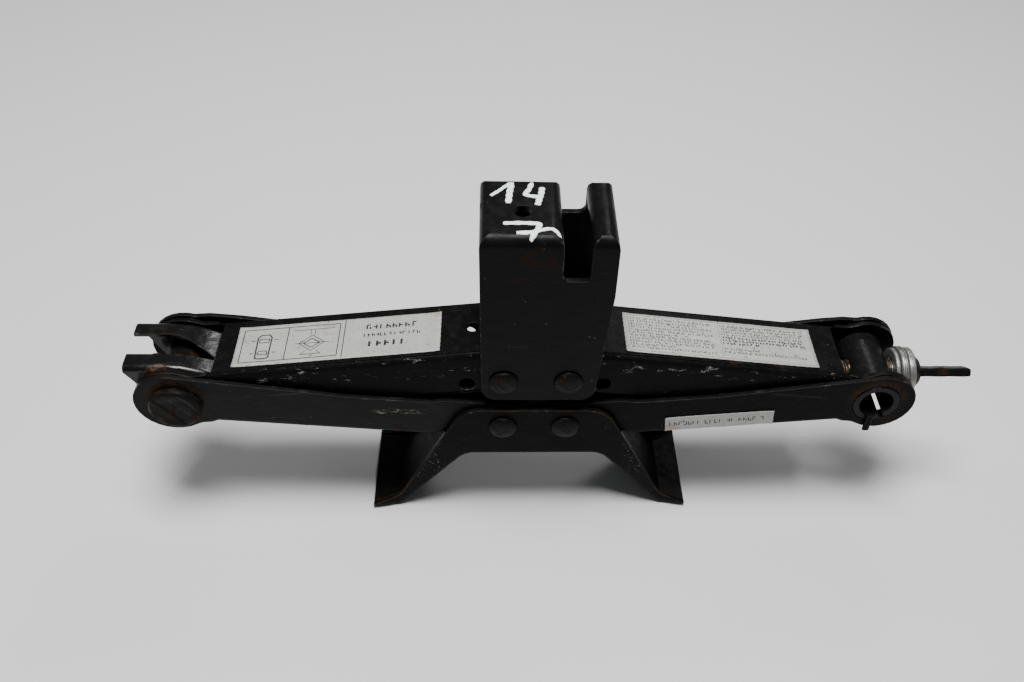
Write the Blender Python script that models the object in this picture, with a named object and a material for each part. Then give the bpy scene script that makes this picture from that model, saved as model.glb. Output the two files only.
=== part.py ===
"""Pantograph screw jack for changing a car's wheel, shown almost lowered.

Four pressed channels (arms) form a diamond.  Their inner ends turn on two
rivets in the base bracket and two in the head bracket, and carry gear teeth
that keep both sides at the same angle.  Their outer ends turn on a nut pin
(left, -X) and a rolled trunnion (right, +X), which one screw draws together.

All sizes below are in millimetres; the finished meshes are in metres.
The frame stands on Z = 0, X runs along the screw and Y across the jack.
"""
import math

import bmesh
import bpy
from mathutils import Matrix

MM = 0.001

# linkage
ARM_LENGTH = 158.8
PIVOT_HALF_SPACING = 15.75
BASE_PIVOT_HEIGHT = 64.8
CLOSED_ANGLE = math.radians(5.7)

# clearances
SHEET_GAP = 0.4
SEAT_GAP = 0.3
HOLE_CLEARANCE = 0.3

# sheets and widths
ARM_SHEET = 2.6
BASE_SHEET = 2.6
HEAD_SHEET = 3.2
BEND_RADIUS = 3.8
UPPER_HALF_WIDTH = 19.4
NEST_GAP = 0.9

# gear teeth on the arms' inner ends
TEETH_PER_TURN = 14
PRESSURE_ANGLE = math.radians(20.0)
BACKLASH = 0.24
ROOT_CLEARANCE = 0.25

# arms
EAR_RADIUS = 18.0
EAR_OFFSET = 2.1
EAR_FILLET = 9.0
UPPER_WEB_OUTER = 14.2
UPPER_WEB_INNER = 16.6
UPPER_OPEN_EDGE = 9.8
LOWER_WEB_HEIGHT = 12.2
LOWER_OPEN_OUTER = 17.4
LOWER_OPEN_INNER = 12.6
LOWER_OPEN_TAPER = 80.0
REAR_EDGE_RISE = 3.2
REAR_EDGE_TRIM = 0.6
WEB_SETBACK_OUTER = 20.2
WEB_HUB_GAP = 3.7
BEND_RUN_OUT = 1.5
BEND_RUN_IN = 8.0
JOGGLE_START = 37.0
JOGGLE_END = 30.0
JOGGLE_DEPTH = 1.8
SIDE_HOLE_OFFSET = 17.8
SIDE_HOLE_DROP = 5.4
SIDE_HOLE_RADIUS = 4.0
WEB_HOLE_OFFSET = 15.0
WEB_HOLE_RADIUS = 3.0

# base bracket
FOOT_HALF_LENGTH = 84.9
FOOT_FLAT = 15.2
SLOPE_RUN = 34.7
FLANGE_ABOVE_PIVOT = 11.6
FLANGE_TOP_HALF = 36.2
FLANGE_KNEE = 70.5
FLANGE_KNEE_HEIGHT = 8.5
FLANGE_TOP_CORNER = 16.0
FLANGE_KNEE_CORNER = 12.0
FOOT_LIP = 3.0
FOOT_FLARE = 2.6
FLARE_SHARES = (0.0, 0.22, 0.68, 1.0)
FLARE_START = 68.0
KNEE_BEND = 10.0
FOOT_BEND = 7.0
TOOTH_TO_WEB_GAP = 1.8

# head bracket
HEAD_TOP = 184.8
HEAD_LEFT = 27.3
HEAD_RIGHT = 34.0
HEAD_FOOT_LEFT = 26.6
HEAD_FOOT_RIGHT = 28.9
HEAD_SKIRT = 13.2
HEAD_FLARE_HEIGHT = 152.0
HEAD_SKIRT_CORNER = 8.0
HEAD_EDGE_RADIUS = 6.0
HEAD_LIP_DEPTH = 9.0
SLOT_LEFT = 9.7
SLOT_WIDTH = 12.3
SLOT_DEPTH_FRONT = 24.0
SLOT_DEPTH_REAR = 18.0
SLOT_CORNER = 3.6
SLOT_FRONT_CORNER = 2.4
TOP_HOLE_X = -8.2
TOP_HOLE_Y = -3.1
TOP_HOLE_RADIUS = 4.0

# rivets and end pins
RIVET_RADIUS = 5.0
RIVET_HEAD_STEPS = ((0.0, 0.97), (0.35, 1.0), (0.62, 0.95), (0.86, 0.8), (1.0, 0.55))
PIN_HEAD_STEPS = ((0.0, 0.96), (0.3, 1.0), (0.7, 0.99), (1.0, 0.9), (0.92, 0.72), (0.66, 0.6))
RIVET_HEAD_RADIUS = 7.2
RIVET_HEAD_HEIGHT = 2.6
NUT_PIN_WALL = 3.3
NUT_PIN_HEAD_RADIUS = 12.4
NUT_PIN_HEAD_HEIGHT = 4.4
TRUNNION_RADIUS = 12.0
TRUNNION_WALL = 3.4
TRUNNION_SEAM = math.radians(11.0)
TRUNNION_SEAM_AT = math.radians(-62.0)
TAB_WIDTH = 3.4
TAB_THICKNESS = 1.6
TAB_LENGTH = 11.0

# nut bracket, measured from the nut pin's axis
BRACKET_SHEET = 2.2
BRACKET_BEND = 3.6
HORN_REACH = 23.4
HORN_SHOULDER = 19.7
BRACKET_FOOT_LEFT = 10.5
BRACKET_FOOT_INSET = 8.5
BRACKET_SIDE_INSET = 1.5
BRACKET_SIDE_DROP = 2.0
BRACKET_CORNER = 3.0
HORN_HEIGHT = 18.1
HORN_TIP = 3.2
HORN_FLAT_END = -8.0
BRACKET_RIGHT_REACH = 21.5
BRACKET_RIGHT_HEIGHT = 9.8
BRACKET_DEPTH = 10.0
BRACKET_SLOT_FRONT = 6.5
BRACKET_SLOT_NOSE = 3.6
BRACKET_SLOT_CURVE = 1.6
BRACKET_SLOT_REAR = 7.1
BRACKET_SLOT_END = 16.4

# screw and thrust stack
SCREW_RADIUS = 6.2
SCREW_CLEARANCE = 0.5
SCREW_OVERRUN = 2.0
END_STOP_RADIUS = 8.4
END_STOP_LENGTH = 4.0
TONGUE_REACH = 55.2
TONGUE_WIDTH = 10.8
TONGUE_THICKNESS = 4.6
TONGUE_TILT = math.radians(-38.0)
STACK_START_GAP = 0.6
WASHER_INNER_BAND = 5.6
WASHER_INNER_LENGTH = 2.4
BEARING_BAND = 6.7
BEARING_LENGTH = 3.8
WASHER_OUTER_BAND = 6.2
WASHER_OUTER_LENGTH = 3.6
COLLAR_BAND = 2.8
COLLAR_TIP_BAND = 0.6
COLLAR_LENGTH = 4.0

# plates
PLATE_THICKNESS = 0.4
PLATE_GAP = 0.2
LEFT_PLATE_START = 29.1
LEFT_PLATE_LENGTH = 100.6
RIGHT_PLATE_START = 33.6
RIGHT_PLATE_LENGTH = 98.7
TOP_PLATE_WIDTH = 27.2
TOP_PLATE_SHIFT = -1.8
SIDE_PLATE_LENGTH = 55.6
SIDE_PLATE_WIDTH = 9.6
SIDE_PLATE_START = 51.0
SIDE_PLATE_DROP = 4.4

# facets
ROUND_SIDES = 32
HOLE_SIDES = 24
BEND_STEPS = 4

# worked out from the sizes above
GEAR_PITCH_RADIUS = PIVOT_HALF_SPACING
GEAR_MODULE = 2.0 * PIVOT_HALF_SPACING / TEETH_PER_TURN
GEAR_TIP_RADIUS = GEAR_PITCH_RADIUS + GEAR_MODULE
GEAR_ROOT_RADIUS = GEAR_PITCH_RADIUS - (1.0 + ROOT_CLEARANCE) * GEAR_MODULE
GEAR_BASE_RADIUS = GEAR_PITCH_RADIUS * math.cos(PRESSURE_ANGLE)
TOOTH_STEP = 2.0 * math.pi / TEETH_PER_TURN
HUB_BESIDE_WEB = math.sqrt(max(0.0, GEAR_ROOT_RADIUS ** 2 - LOWER_WEB_HEIGHT ** 2))
WEB_SETBACK_INNER = HUB_BESIDE_WEB + WEB_HUB_GAP
SCREW_BORE = SCREW_RADIUS + SCREW_CLEARANCE
NUT_PIN_RADIUS = SCREW_BORE + NUT_PIN_WALL
LOWER_HALF_WIDTH = UPPER_HALF_WIDTH + NEST_GAP + ARM_SHEET
LOWER_INNER_END_HALF = LOWER_HALF_WIDTH - JOGGLE_DEPTH
BASE_HALF_WIDTH = LOWER_INNER_END_HALF + SHEET_GAP + BASE_SHEET
HEAD_HALF_WIDTH = UPPER_HALF_WIDTH + SHEET_GAP + HEAD_SHEET
END_PIVOT_X = PIVOT_HALF_SPACING + ARM_LENGTH * math.cos(CLOSED_ANGLE)
END_PIVOT_Z = BASE_PIVOT_HEIGHT + ARM_LENGTH * math.sin(CLOSED_ANGLE)
HEAD_PIVOT_Z = BASE_PIVOT_HEIGHT + 2.0 * ARM_LENGTH * math.sin(CLOSED_ANGLE)
BASE_WEB_TOP = BASE_PIVOT_HEIGHT - GEAR_TIP_RADIUS - TOOTH_TO_WEB_GAP
BASE_WEB_BOTTOM = BASE_WEB_TOP - BASE_SHEET
BRACKET_HALF_WIDTH = UPPER_HALF_WIDTH - ARM_SHEET - SHEET_GAP
WASHER_INNER_RADIUS = SCREW_BORE + WASHER_INNER_BAND
BEARING_RADIUS = SCREW_BORE + BEARING_BAND
WASHER_OUTER_RADIUS = SCREW_BORE + WASHER_OUTER_BAND
COLLAR_RADIUS = SCREW_BORE + COLLAR_BAND
COLLAR_RIM = 1.2
COLLAR_TIP_RADIUS = SCREW_BORE + COLLAR_TIP_BAND
STACK_START = END_PIVOT_X + TRUNNION_RADIUS + STACK_START_GAP
BEARING_START = STACK_START + WASHER_INNER_LENGTH + SEAT_GAP
WASHER_OUTER_START = BEARING_START + BEARING_LENGTH + SEAT_GAP
COLLAR_START = WASHER_OUTER_START + WASHER_OUTER_LENGTH + SEAT_GAP
COLLAR_END = COLLAR_START + COLLAR_LENGTH
TONGUE_END = END_PIVOT_X + TONGUE_REACH
SCREW_START = -END_PIVOT_X - NUT_PIN_RADIUS - SCREW_OVERRUN - END_STOP_LENGTH
FRAME_SHIFT = (END_PIVOT_X + HORN_REACH - TONGUE_END) / 2.0


# ---------------------------------------------------------------- outlines

def arc(centre, radius, start, end, steps):
    """Points on a circle from angle start to angle end, both included."""
    angles = [start + (end - start) * i / steps for i in range(steps + 1)]
    return [(centre[0] + radius * math.cos(a), centre[1] + radius * math.sin(a)) for a in angles]


def rounded(corners, steps=5):
    """Outline through corners (x, z, radius), each rounded to its own radius."""
    outline = []
    count = len(corners)
    for i, (x, z, radius) in enumerate(corners):
        if radius == 0.0:
            outline.append((x, z))
            continue
        before = corners[i - 1]
        after = corners[(i + 1) % count]
        back = math.atan2(before[1] - z, before[0] - x)
        ahead = math.atan2(after[1] - z, after[0] - x)
        turn = (ahead - back + math.pi) % (2.0 * math.pi) - math.pi
        half = abs(turn) / 2.0
        reach = radius / math.tan(half)
        middle = back + turn / 2.0
        centre_distance = radius / math.sin(half)
        centre = (x + centre_distance * math.cos(middle), z + centre_distance * math.sin(middle))
        first = (x + reach * math.cos(back), z + reach * math.sin(back))
        start = math.atan2(first[1] - centre[1], first[0] - centre[0])
        sweep = math.copysign(math.pi - abs(turn), -turn)
        outline += arc(centre, radius, start, start + sweep, steps)
    return outline


def parallel(line, distance):
    """An open line moved sideways by distance, to its left."""
    moved = []
    for i, (x, z) in enumerate(line):
        before = line[max(i - 1, 0)]
        after = line[min(i + 1, len(line) - 1)]
        first = math.atan2(z - before[1], x - before[0]) if i > 0 else None
        second = math.atan2(after[1] - z, after[0] - x) if i < len(line) - 1 else first
        first = second if first is None else first
        turn = (second - first + math.pi) % (2.0 * math.pi) - math.pi
        normal = first + turn / 2.0 + math.pi / 2.0
        reach = distance / math.cos(turn / 2.0)
        moved.append((x + reach * math.cos(normal), z + reach * math.sin(normal)))
    return moved


def involute(angle):
    return math.tan(angle) - angle


def tooth_half_angle(radius):
    """Half the angle a tooth covers at this radius."""
    at_pitch = math.pi / (2.0 * TEETH_PER_TURN) - BACKLASH / (4.0 * GEAR_PITCH_RADIUS)
    pressure_here = math.acos(min(1.0, GEAR_BASE_RADIUS / radius))
    return at_pitch + involute(PRESSURE_ANGLE) - involute(pressure_here)


def tooth(centre, angle):
    """One tooth from its lower flank's root over the tip to its upper flank's root."""
    middle_radius = (GEAR_PITCH_RADIUS + GEAR_TIP_RADIUS) / 2.0
    radii = [GEAR_ROOT_RADIUS, GEAR_BASE_RADIUS, GEAR_PITCH_RADIUS, middle_radius, GEAR_TIP_RADIUS]
    flank = [(r, tooth_half_angle(r)) for r in radii]
    ordered = [(r, angle - h) for r, h in flank] + [(r, angle + h) for r, h in reversed(flank)]
    return [(centre[0] + r * math.cos(a), centre[1] + r * math.sin(a)) for r, a in ordered]


def ear_corner(edge, sign):
    """Fillet between the end ear and a straight edge at height edge on one side."""
    reach = EAR_RADIUS + EAR_FILLET
    height = abs(edge) + EAR_FILLET
    beside = math.sqrt(reach ** 2 - height ** 2)
    centre = (beside - EAR_OFFSET, sign * height)
    on_ear = math.atan2(centre[1], beside)
    start = on_ear + math.pi
    end = math.radians(-90.0) if sign > 0 else math.radians(90.0)
    sweep = (end - start + math.pi) % (2.0 * math.pi) - math.pi
    return arc(centre, EAR_FILLET, start, start + sweep, 4), on_ear


def arm_outline(web_outer, web_inner, open_edge, teeth):
    """Side outline of an arm.

    The end pivot is at (0, 0), the gear pivot at (ARM_LENGTH, 0); the web is on
    the +v side and the teeth angles are counted from the line between pivots.
    The open edge is a pair: its height beside the ear and further in.
    """
    gear = (ARM_LENGTH, 0.0)
    open_outer, open_inner = open_edge
    open_fillet, open_angle = ear_corner(open_outer, -1.0)
    web_fillet, web_angle = ear_corner(web_outer, 1.0)
    ear = arc((-EAR_OFFSET, 0.0), EAR_RADIUS, web_angle, 2.0 * math.pi + open_angle, 18)
    points = ear[1:-1] + open_fillet
    if open_outer != open_inner:
        points.append((LOWER_OPEN_TAPER, -open_inner))
    points.append((ARM_LENGTH + 1.0, -open_inner))
    for angle in sorted(teeth):
        points += tooth(gear, angle)
    hub_end = math.radians(70.0)
    points += arc(gear, GEAR_ROOT_RADIUS, max(teeth) + TOOTH_STEP * 0.75, hub_end, 5)
    points.append((ARM_LENGTH - WEB_SETBACK_INNER, web_inner))
    points.append((WEB_SETBACK_OUTER, web_outer))
    points += list(reversed(web_fillet))
    return points


# ---------------------------------------------------------------- solids

def mesh_object(name, shape):
    """Turn a bmesh into an object, with every face pointing out."""
    bmesh.ops.recalc_face_normals(shape, faces=shape.faces)
    mesh = bpy.data.meshes.new(name)
    shape.to_mesh(mesh)
    shape.free()
    item = bpy.data.objects.new(name, mesh)
    bpy.context.scene.collection.objects.link(item)
    return item


def prism(outline, low, high, name="cutter"):
    """An X-Z outline drawn out along Y from low to high."""
    shape = bmesh.new()
    face = shape.faces.new([shape.verts.new((x, low, z)) for x, z in outline])
    drawn = bmesh.ops.extrude_face_region(shape, geom=[face])
    moved = [part for part in drawn["geom"] if isinstance(part, bmesh.types.BMVert)]
    bmesh.ops.translate(shape, verts=moved, vec=(0.0, high - low, 0.0))
    return mesh_object(name, shape)


def turned(profile, turn_to, place, name="cutter", sides=ROUND_SIDES):
    """A profile of (distance along the axis, radius) turned into a solid of revolution."""
    shape = bmesh.new()
    verts = [shape.verts.new((radius, 0.0, along)) for along, radius in profile]
    closed = profile[0][1] > 0.0 and profile[-1][1] > 0.0
    edges = [shape.edges.new(pair) for pair in zip(verts, verts[1:])]
    if closed:
        edges.append(shape.edges.new((verts[-1], verts[0])))
    bmesh.ops.spin(shape, geom=verts + edges, cent=(0.0, 0.0, 0.0), axis=(0.0, 0.0, 1.0),
                   angle=2.0 * math.pi, steps=sides, use_merge=True)
    bmesh.ops.remove_doubles(shape, verts=shape.verts, dist=1e-5)
    bmesh.ops.transform(shape, matrix=Matrix.Translation(place) @ turn_to, verts=shape.verts)
    return mesh_object(name, shape)


ALONG_X = Matrix.Rotation(math.radians(90.0), 4, "Y")
ALONG_Y = Matrix.Rotation(math.radians(-90.0), 4, "X")
ALONG_Z = Matrix.Identity(4)


def rod(radius, low, high, turn_to, place, name="cutter", sides=HOLE_SIDES):
    """A plain cylinder from low to high along its axis."""
    return turned([(low, 0.0), (low, radius), (high, radius), (high, 0.0)],
                  turn_to, place, name, sides)


def ring(inner, outer, low, high, place, name, chamfer):
    """A washer along X with chamfered outer edges."""
    profile = [(low, inner), (low, outer - chamfer), (low + chamfer, outer),
               (high - chamfer, outer), (high, outer - chamfer), (high, inner)]
    return turned(profile, ALONG_X, place, name)


def round_edges(item, radius, steps, wanted):
    """Round the edges whose two end points both pass the test."""
    shape = bmesh.new()
    shape.from_mesh(item.data)
    chosen = [e for e in shape.edges if wanted(*[v.co for v in e.verts])]
    bmesh.ops.bevel(shape, geom=chosen, offset=radius, offset_type="OFFSET",
                    segments=steps, profile=0.5, affect="EDGES", clamp_overlap=True)
    shape.to_mesh(item.data)
    shape.free()
    return item


def combine(item, others, operation):
    """Join the others to an item, or cut them from it, and clear them away."""
    for other in others:
        step = item.modifiers.new("combine", "BOOLEAN")
        step.operation = operation
        step.solver = "EXACT"
        step.object = other
    graph = bpy.context.evaluated_depsgraph_get()
    result = bpy.data.meshes.new_from_object(item.evaluated_get(graph))
    item.modifiers.clear()
    item.data = result
    for other in others:
        bpy.data.objects.remove(other)
    return item


def finish(item, material, origin=(0.0, 0.0, 0.0), smooth_angle=38.0):
    """Centre the frame, go to metres and put the origin on the part's own axis."""
    centre = Matrix.Translation((FRAME_SHIFT, 0.0, 0.0))
    item.data.transform(Matrix.Scale(MM, 4) @ centre)
    place = [(origin[0] + FRAME_SHIFT) * MM, origin[1] * MM, origin[2] * MM]
    item.data.transform(Matrix.Translation(place).inverted())
    item.location = place
    item.data.materials.clear()
    item.data.materials.append(material)
    item.data.shade_smooth()
    item.data.set_sharp_from_angle(angle=math.radians(smooth_angle))
    return item


def make_material(name, colour, roughness, metallic):
    material = bpy.data.materials.new(name)
    material.use_nodes = True
    shader = material.node_tree.nodes["Principled BSDF"]
    shader.inputs["Base Color"].default_value = (*colour, 1.0)
    shader.inputs["Roughness"].default_value = roughness
    shader.inputs["Metallic"].default_value = metallic
    return material


# ---------------------------------------------------------------- arms

def place_arm(points, side, upper):
    """Arm outline (u along the arm, v to the web side) put into the closed jack."""
    rise = CLOSED_ANGLE if upper else -CLOSED_ANGLE
    flip = 1.0 if upper else -1.0
    placed = []
    for u, v in points:
        x = u * math.cos(rise) - flip * v * math.sin(rise)
        z = u * math.sin(rise) + flip * v * math.cos(rise)
        placed.append((side * (x - END_PIVOT_X) * -1.0, z + END_PIVOT_Z))
    return placed


def arm_teeth(side):
    """Teeth angles from the arm's own line; the two sides are half a step apart."""
    first = 0 if side < 0 else -1
    phase = 0.0 if side < 0 else TOOTH_STEP / 2.0
    return [-(phase + k * TOOTH_STEP) - CLOSED_ANGLE for k in range(first, first + 3)]


def bend_cutter(edge, web_outer, web_inner, side, upper):
    """What lies outside the rounded bend between an arm's web and its wall at Y = edge."""
    out = math.copysign(1.0, edge)
    inner = abs(edge) - BEND_RADIUS
    section = arc((inner, -BEND_RADIUS), BEND_RADIUS, math.pi / 2.0, 0.0, BEND_STEPS)
    section += [(abs(edge) + 1.0, -BEND_RADIUS), (abs(edge) + 1.0, 1.0), (inner, 1.0)]
    run = ARM_LENGTH - WEB_SETBACK_INNER - WEB_SETBACK_OUTER
    slope = (web_inner - web_outer) / run
    shape = bmesh.new()
    loops = []
    full = WEB_SETBACK_OUTER - BEND_RUN_OUT
    clear = 1.5 * BEND_RADIUS
    for u, lift in ((full - BEND_RUN_IN, clear), (full, 0.0), (ARM_LENGTH + EAR_RADIUS, 0.0)):
        top = web_outer + slope * (u - WEB_SETBACK_OUTER) + lift
        placed = [(y, place_arm([(u, top + v)], side, upper)[0]) for y, v in section]
        loops.append([shape.verts.new((x, out * y, z)) for y, (x, z) in placed])
    shape.faces.new(loops[0])
    shape.faces.new(list(reversed(loops[-1])))
    for first, last in zip(loops, loops[1:]):
        for i, vert in enumerate(first):
            after = (i + 1) % len(first)
            shape.faces.new((vert, first[after], last[after], last[i]))
    return mesh_object("cutter", shape)


def arm_channel(name, side, upper):
    """A channel with a web, two walls, end ears and gear teeth."""
    web_outer = UPPER_WEB_OUTER if upper else LOWER_WEB_HEIGHT
    web_inner = UPPER_WEB_INNER if upper else LOWER_WEB_HEIGHT
    open_edge = ((UPPER_OPEN_EDGE, UPPER_OPEN_EDGE) if upper
                 else (LOWER_OPEN_OUTER, LOWER_OPEN_INNER))
    half = UPPER_HALF_WIDTH if upper else LOWER_HALF_WIDTH
    outline = arm_outline(web_outer, web_inner, open_edge, arm_teeth(side))
    item = prism(place_arm(outline, side, upper), -half, half, name)
    beyond = 3.0 * EAR_RADIUS
    hollow = [(-beyond, -beyond), (ARM_LENGTH + beyond, -beyond), (ARM_LENGTH + beyond, beyond),
              (ARM_LENGTH - WEB_SETBACK_INNER, beyond),
              (ARM_LENGTH - WEB_SETBACK_INNER, web_inner - ARM_SHEET),
              (WEB_SETBACK_OUTER, web_outer - ARM_SHEET), (WEB_SETBACK_OUTER, beyond),
              (-beyond, beyond)]
    inside = half - ARM_SHEET
    cutters = [prism(place_arm(hollow, side, upper), -inside, inside)]
    for edge in (-half, half):
        cutters.append(bend_cutter(edge, web_outer, web_inner, side, upper))
    return combine(item, cutters, "DIFFERENCE")


def cross_holes(item, holes):
    """Drill holes (x, z, radius) right across a part along Y."""
    reach = 2.0 * BASE_HALF_WIDTH
    cutters = [rod(r, -reach, reach, ALONG_Y, (x, 0.0, z)) for x, z, r in holes]
    return combine(item, cutters, "DIFFERENCE")


def joggle(item, side):
    """Set the lower arm's inner end inwards, so that it fits between the base flanges."""
    along = place_arm([(ARM_LENGTH - JOGGLE_START, 0.0), (ARM_LENGTH - JOGGLE_END, 0.0)],
                      side, False)
    direction = (math.cos(CLOSED_ANGLE), 0.0, side * math.sin(CLOSED_ANGLE))
    shape = bmesh.new()
    shape.from_mesh(item.data)
    for x, z in along:
        everything = list(shape.verts) + list(shape.edges) + list(shape.faces)
        bmesh.ops.bisect_plane(shape, geom=everything, dist=1e-4,
                               plane_co=(x, 0.0, z), plane_no=direction)
    start_x, start_z = along[0]
    for vert in shape.verts:
        travel = (start_x - vert.co.x) * direction[0] + (start_z - vert.co.z) * direction[2]
        share = min(1.0, max(0.0, side * travel / (JOGGLE_START - JOGGLE_END)))
        vert.co.y -= math.copysign(JOGGLE_DEPTH * share, vert.co.y)
    shape.to_mesh(item.data)
    shape.free()
    return item


def rear_rise(side):
    """The lower arm's rear wall, which stands higher than its front wall near the ear."""
    high = -(LOWER_OPEN_OUTER + REAR_EDGE_RISE / 2.0)
    low = -(LOWER_OPEN_INNER + REAR_EDGE_RISE)
    inner = LOWER_OPEN_TAPER + 3.0 * REAR_EDGE_RISE
    edge = [(0.0, -EAR_RADIUS / 2.0), (0.0, REAR_EDGE_TRIM - EAR_RADIUS), (EAR_RADIUS / 2.0, high),
            (EAR_RADIUS + REAR_EDGE_RISE, high), (LOWER_OPEN_TAPER, low), (inner, -EAR_RADIUS / 2.0)]
    return prism(place_arm(edge, side, False), LOWER_HALF_WIDTH - ARM_SHEET, LOWER_HALF_WIDTH)


def lower_arm(side, material):
    word = "left" if side < 0 else "right"
    item = arm_channel(f"lower_arm_{word}", side, False)
    combine(item, [rear_rise(side)], "UNION")
    end_radius = (NUT_PIN_RADIUS if side < 0 else TRUNNION_RADIUS) + HOLE_CLEARANCE
    holes = [(side * END_PIVOT_X, END_PIVOT_Z, end_radius),
             (side * PIVOT_HALF_SPACING, BASE_PIVOT_HEIGHT, RIVET_RADIUS + HOLE_CLEARANCE)]
    joggle(cross_holes(item, holes), side)
    origin = (side * PIVOT_HALF_SPACING, 0.0, BASE_PIVOT_HEIGHT)
    return finish(item, material, origin)


def upper_arm(side, material):
    word = "left" if side < 0 else "right"
    item = arm_channel(f"upper_arm_{word}", side, True)
    end_radius = (NUT_PIN_RADIUS if side < 0 else TRUNNION_RADIUS) + HOLE_CLEARANCE
    side_hole_x = side * (PIVOT_HALF_SPACING + SIDE_HOLE_OFFSET)
    holes = [(side * END_PIVOT_X, END_PIVOT_Z, end_radius),
             (side * PIVOT_HALF_SPACING, HEAD_PIVOT_Z, RIVET_RADIUS + HOLE_CLEARANCE),
             (side_hole_x, HEAD_PIVOT_Z - SIDE_HOLE_DROP, SIDE_HOLE_RADIUS)]
    cross_holes(item, holes)
    if side < 0:
        web_hole_x = side * (PIVOT_HALF_SPACING + WEB_HOLE_OFFSET)
        drill = rod(WEB_HOLE_RADIUS, 0.0, HEAD_TOP, ALONG_Z, (web_hole_x, 0.0, HEAD_PIVOT_Z))
        combine(item, [drill], "DIFFERENCE")
    return finish(item, material, (side * END_PIVOT_X, 0.0, END_PIVOT_Z))


# ---------------------------------------------------------------- brackets

def base_floor_line():
    """Underside of the base bracket's web, from left to right, with rounded bends."""
    foot_start = FOOT_HALF_LENGTH - FOOT_FLAT
    knee = foot_start - SLOPE_RUN
    corners = [(-FOOT_HALF_LENGTH, 0.0, 0.0), (-foot_start, 0.0, FOOT_BEND),
               (-knee, BASE_WEB_BOTTOM, KNEE_BEND), (knee, BASE_WEB_BOTTOM, KNEE_BEND),
               (foot_start, 0.0, FOOT_BEND), (FOOT_HALF_LENGTH, 0.0, 0.0)]
    return rounded(corners)


def flare_feet(item):
    """Spread the base's walls outwards towards the ends of the feet, in three bends."""
    last = len(FLARE_SHARES) - 1
    ends = [FLARE_START + (FOOT_HALF_LENGTH - FLARE_START) * i / last
            for i in range(len(FLARE_SHARES))]
    spread = [share * FOOT_FLARE for share in FLARE_SHARES]
    shape = bmesh.new()
    shape.from_mesh(item.data)
    for x in ends[:-1]:
        for side in (-1.0, 1.0):
            everything = list(shape.verts) + list(shape.edges) + list(shape.faces)
            bmesh.ops.bisect_plane(shape, geom=everything, dist=1e-4,
                                   plane_co=(side * x, 0.0, 0.0), plane_no=(1.0, 0.0, 0.0))
    for vert in shape.verts:
        for i in range(last):
            share = (abs(vert.co.x) - ends[i]) / (ends[i + 1] - ends[i])
            if 0.0 < share <= 1.0 + 1e-6:
                move = spread[i] + share * (spread[i + 1] - spread[i])
                vert.co.y += move * vert.co.y / BASE_HALF_WIDTH
                break
    shape.to_mesh(item.data)
    shape.free()
    return item


def base_bracket(material):
    floor = base_floor_line()
    top = BASE_PIVOT_HEIGHT + FLANGE_ABOVE_PIVOT
    half_top = [(FOOT_HALF_LENGTH, FOOT_LIP, 0.0),
                (FLANGE_KNEE, FLANGE_KNEE_HEIGHT, FLANGE_KNEE_CORNER),
                (FLANGE_TOP_HALF, top, FLANGE_TOP_CORNER)]
    edge_corners = half_top + [(-x, z, r) for x, z, r in reversed(half_top)]
    edge = rounded([(FOOT_HALF_LENGTH, 0.0, 0.0)] + edge_corners + [(-FOOT_HALF_LENGTH, 0.0, 0.0)])
    item = prism(floor[1:-1] + edge, -BASE_HALF_WIDTH, BASE_HALF_WIDTH, "base_bracket")
    floor_set = {(round(x, 3), round(z, 3)) for x, z in floor}

    def on_floor_edge(a, b):
        both = all((round(p.x, 3), round(p.z, 3)) in floor_set for p in (a, b))
        return both and abs(a.y - b.y) < 1e-3

    round_edges(item, BEND_RADIUS, BEND_STEPS, on_floor_edge)
    inside = BASE_HALF_WIDTH - BASE_SHEET
    lining = parallel(floor, BASE_SHEET)
    lining[0] = (-FOOT_HALF_LENGTH - 10.0, lining[0][1])
    lining[-1] = (FOOT_HALF_LENGTH + 10.0, lining[-1][1])
    hollow = lining + [(FOOT_HALF_LENGTH + 10.0, HEAD_TOP), (-FOOT_HALF_LENGTH - 10.0, HEAD_TOP)]
    combine(item, [prism(hollow, -inside, inside)], "DIFFERENCE")
    hole = RIVET_RADIUS + HOLE_CLEARANCE
    cross_holes(item, [(s * PIVOT_HALF_SPACING, BASE_PIVOT_HEIGHT, hole) for s in (-1.0, 1.0)])
    return finish(flare_feet(item), material)


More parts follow.
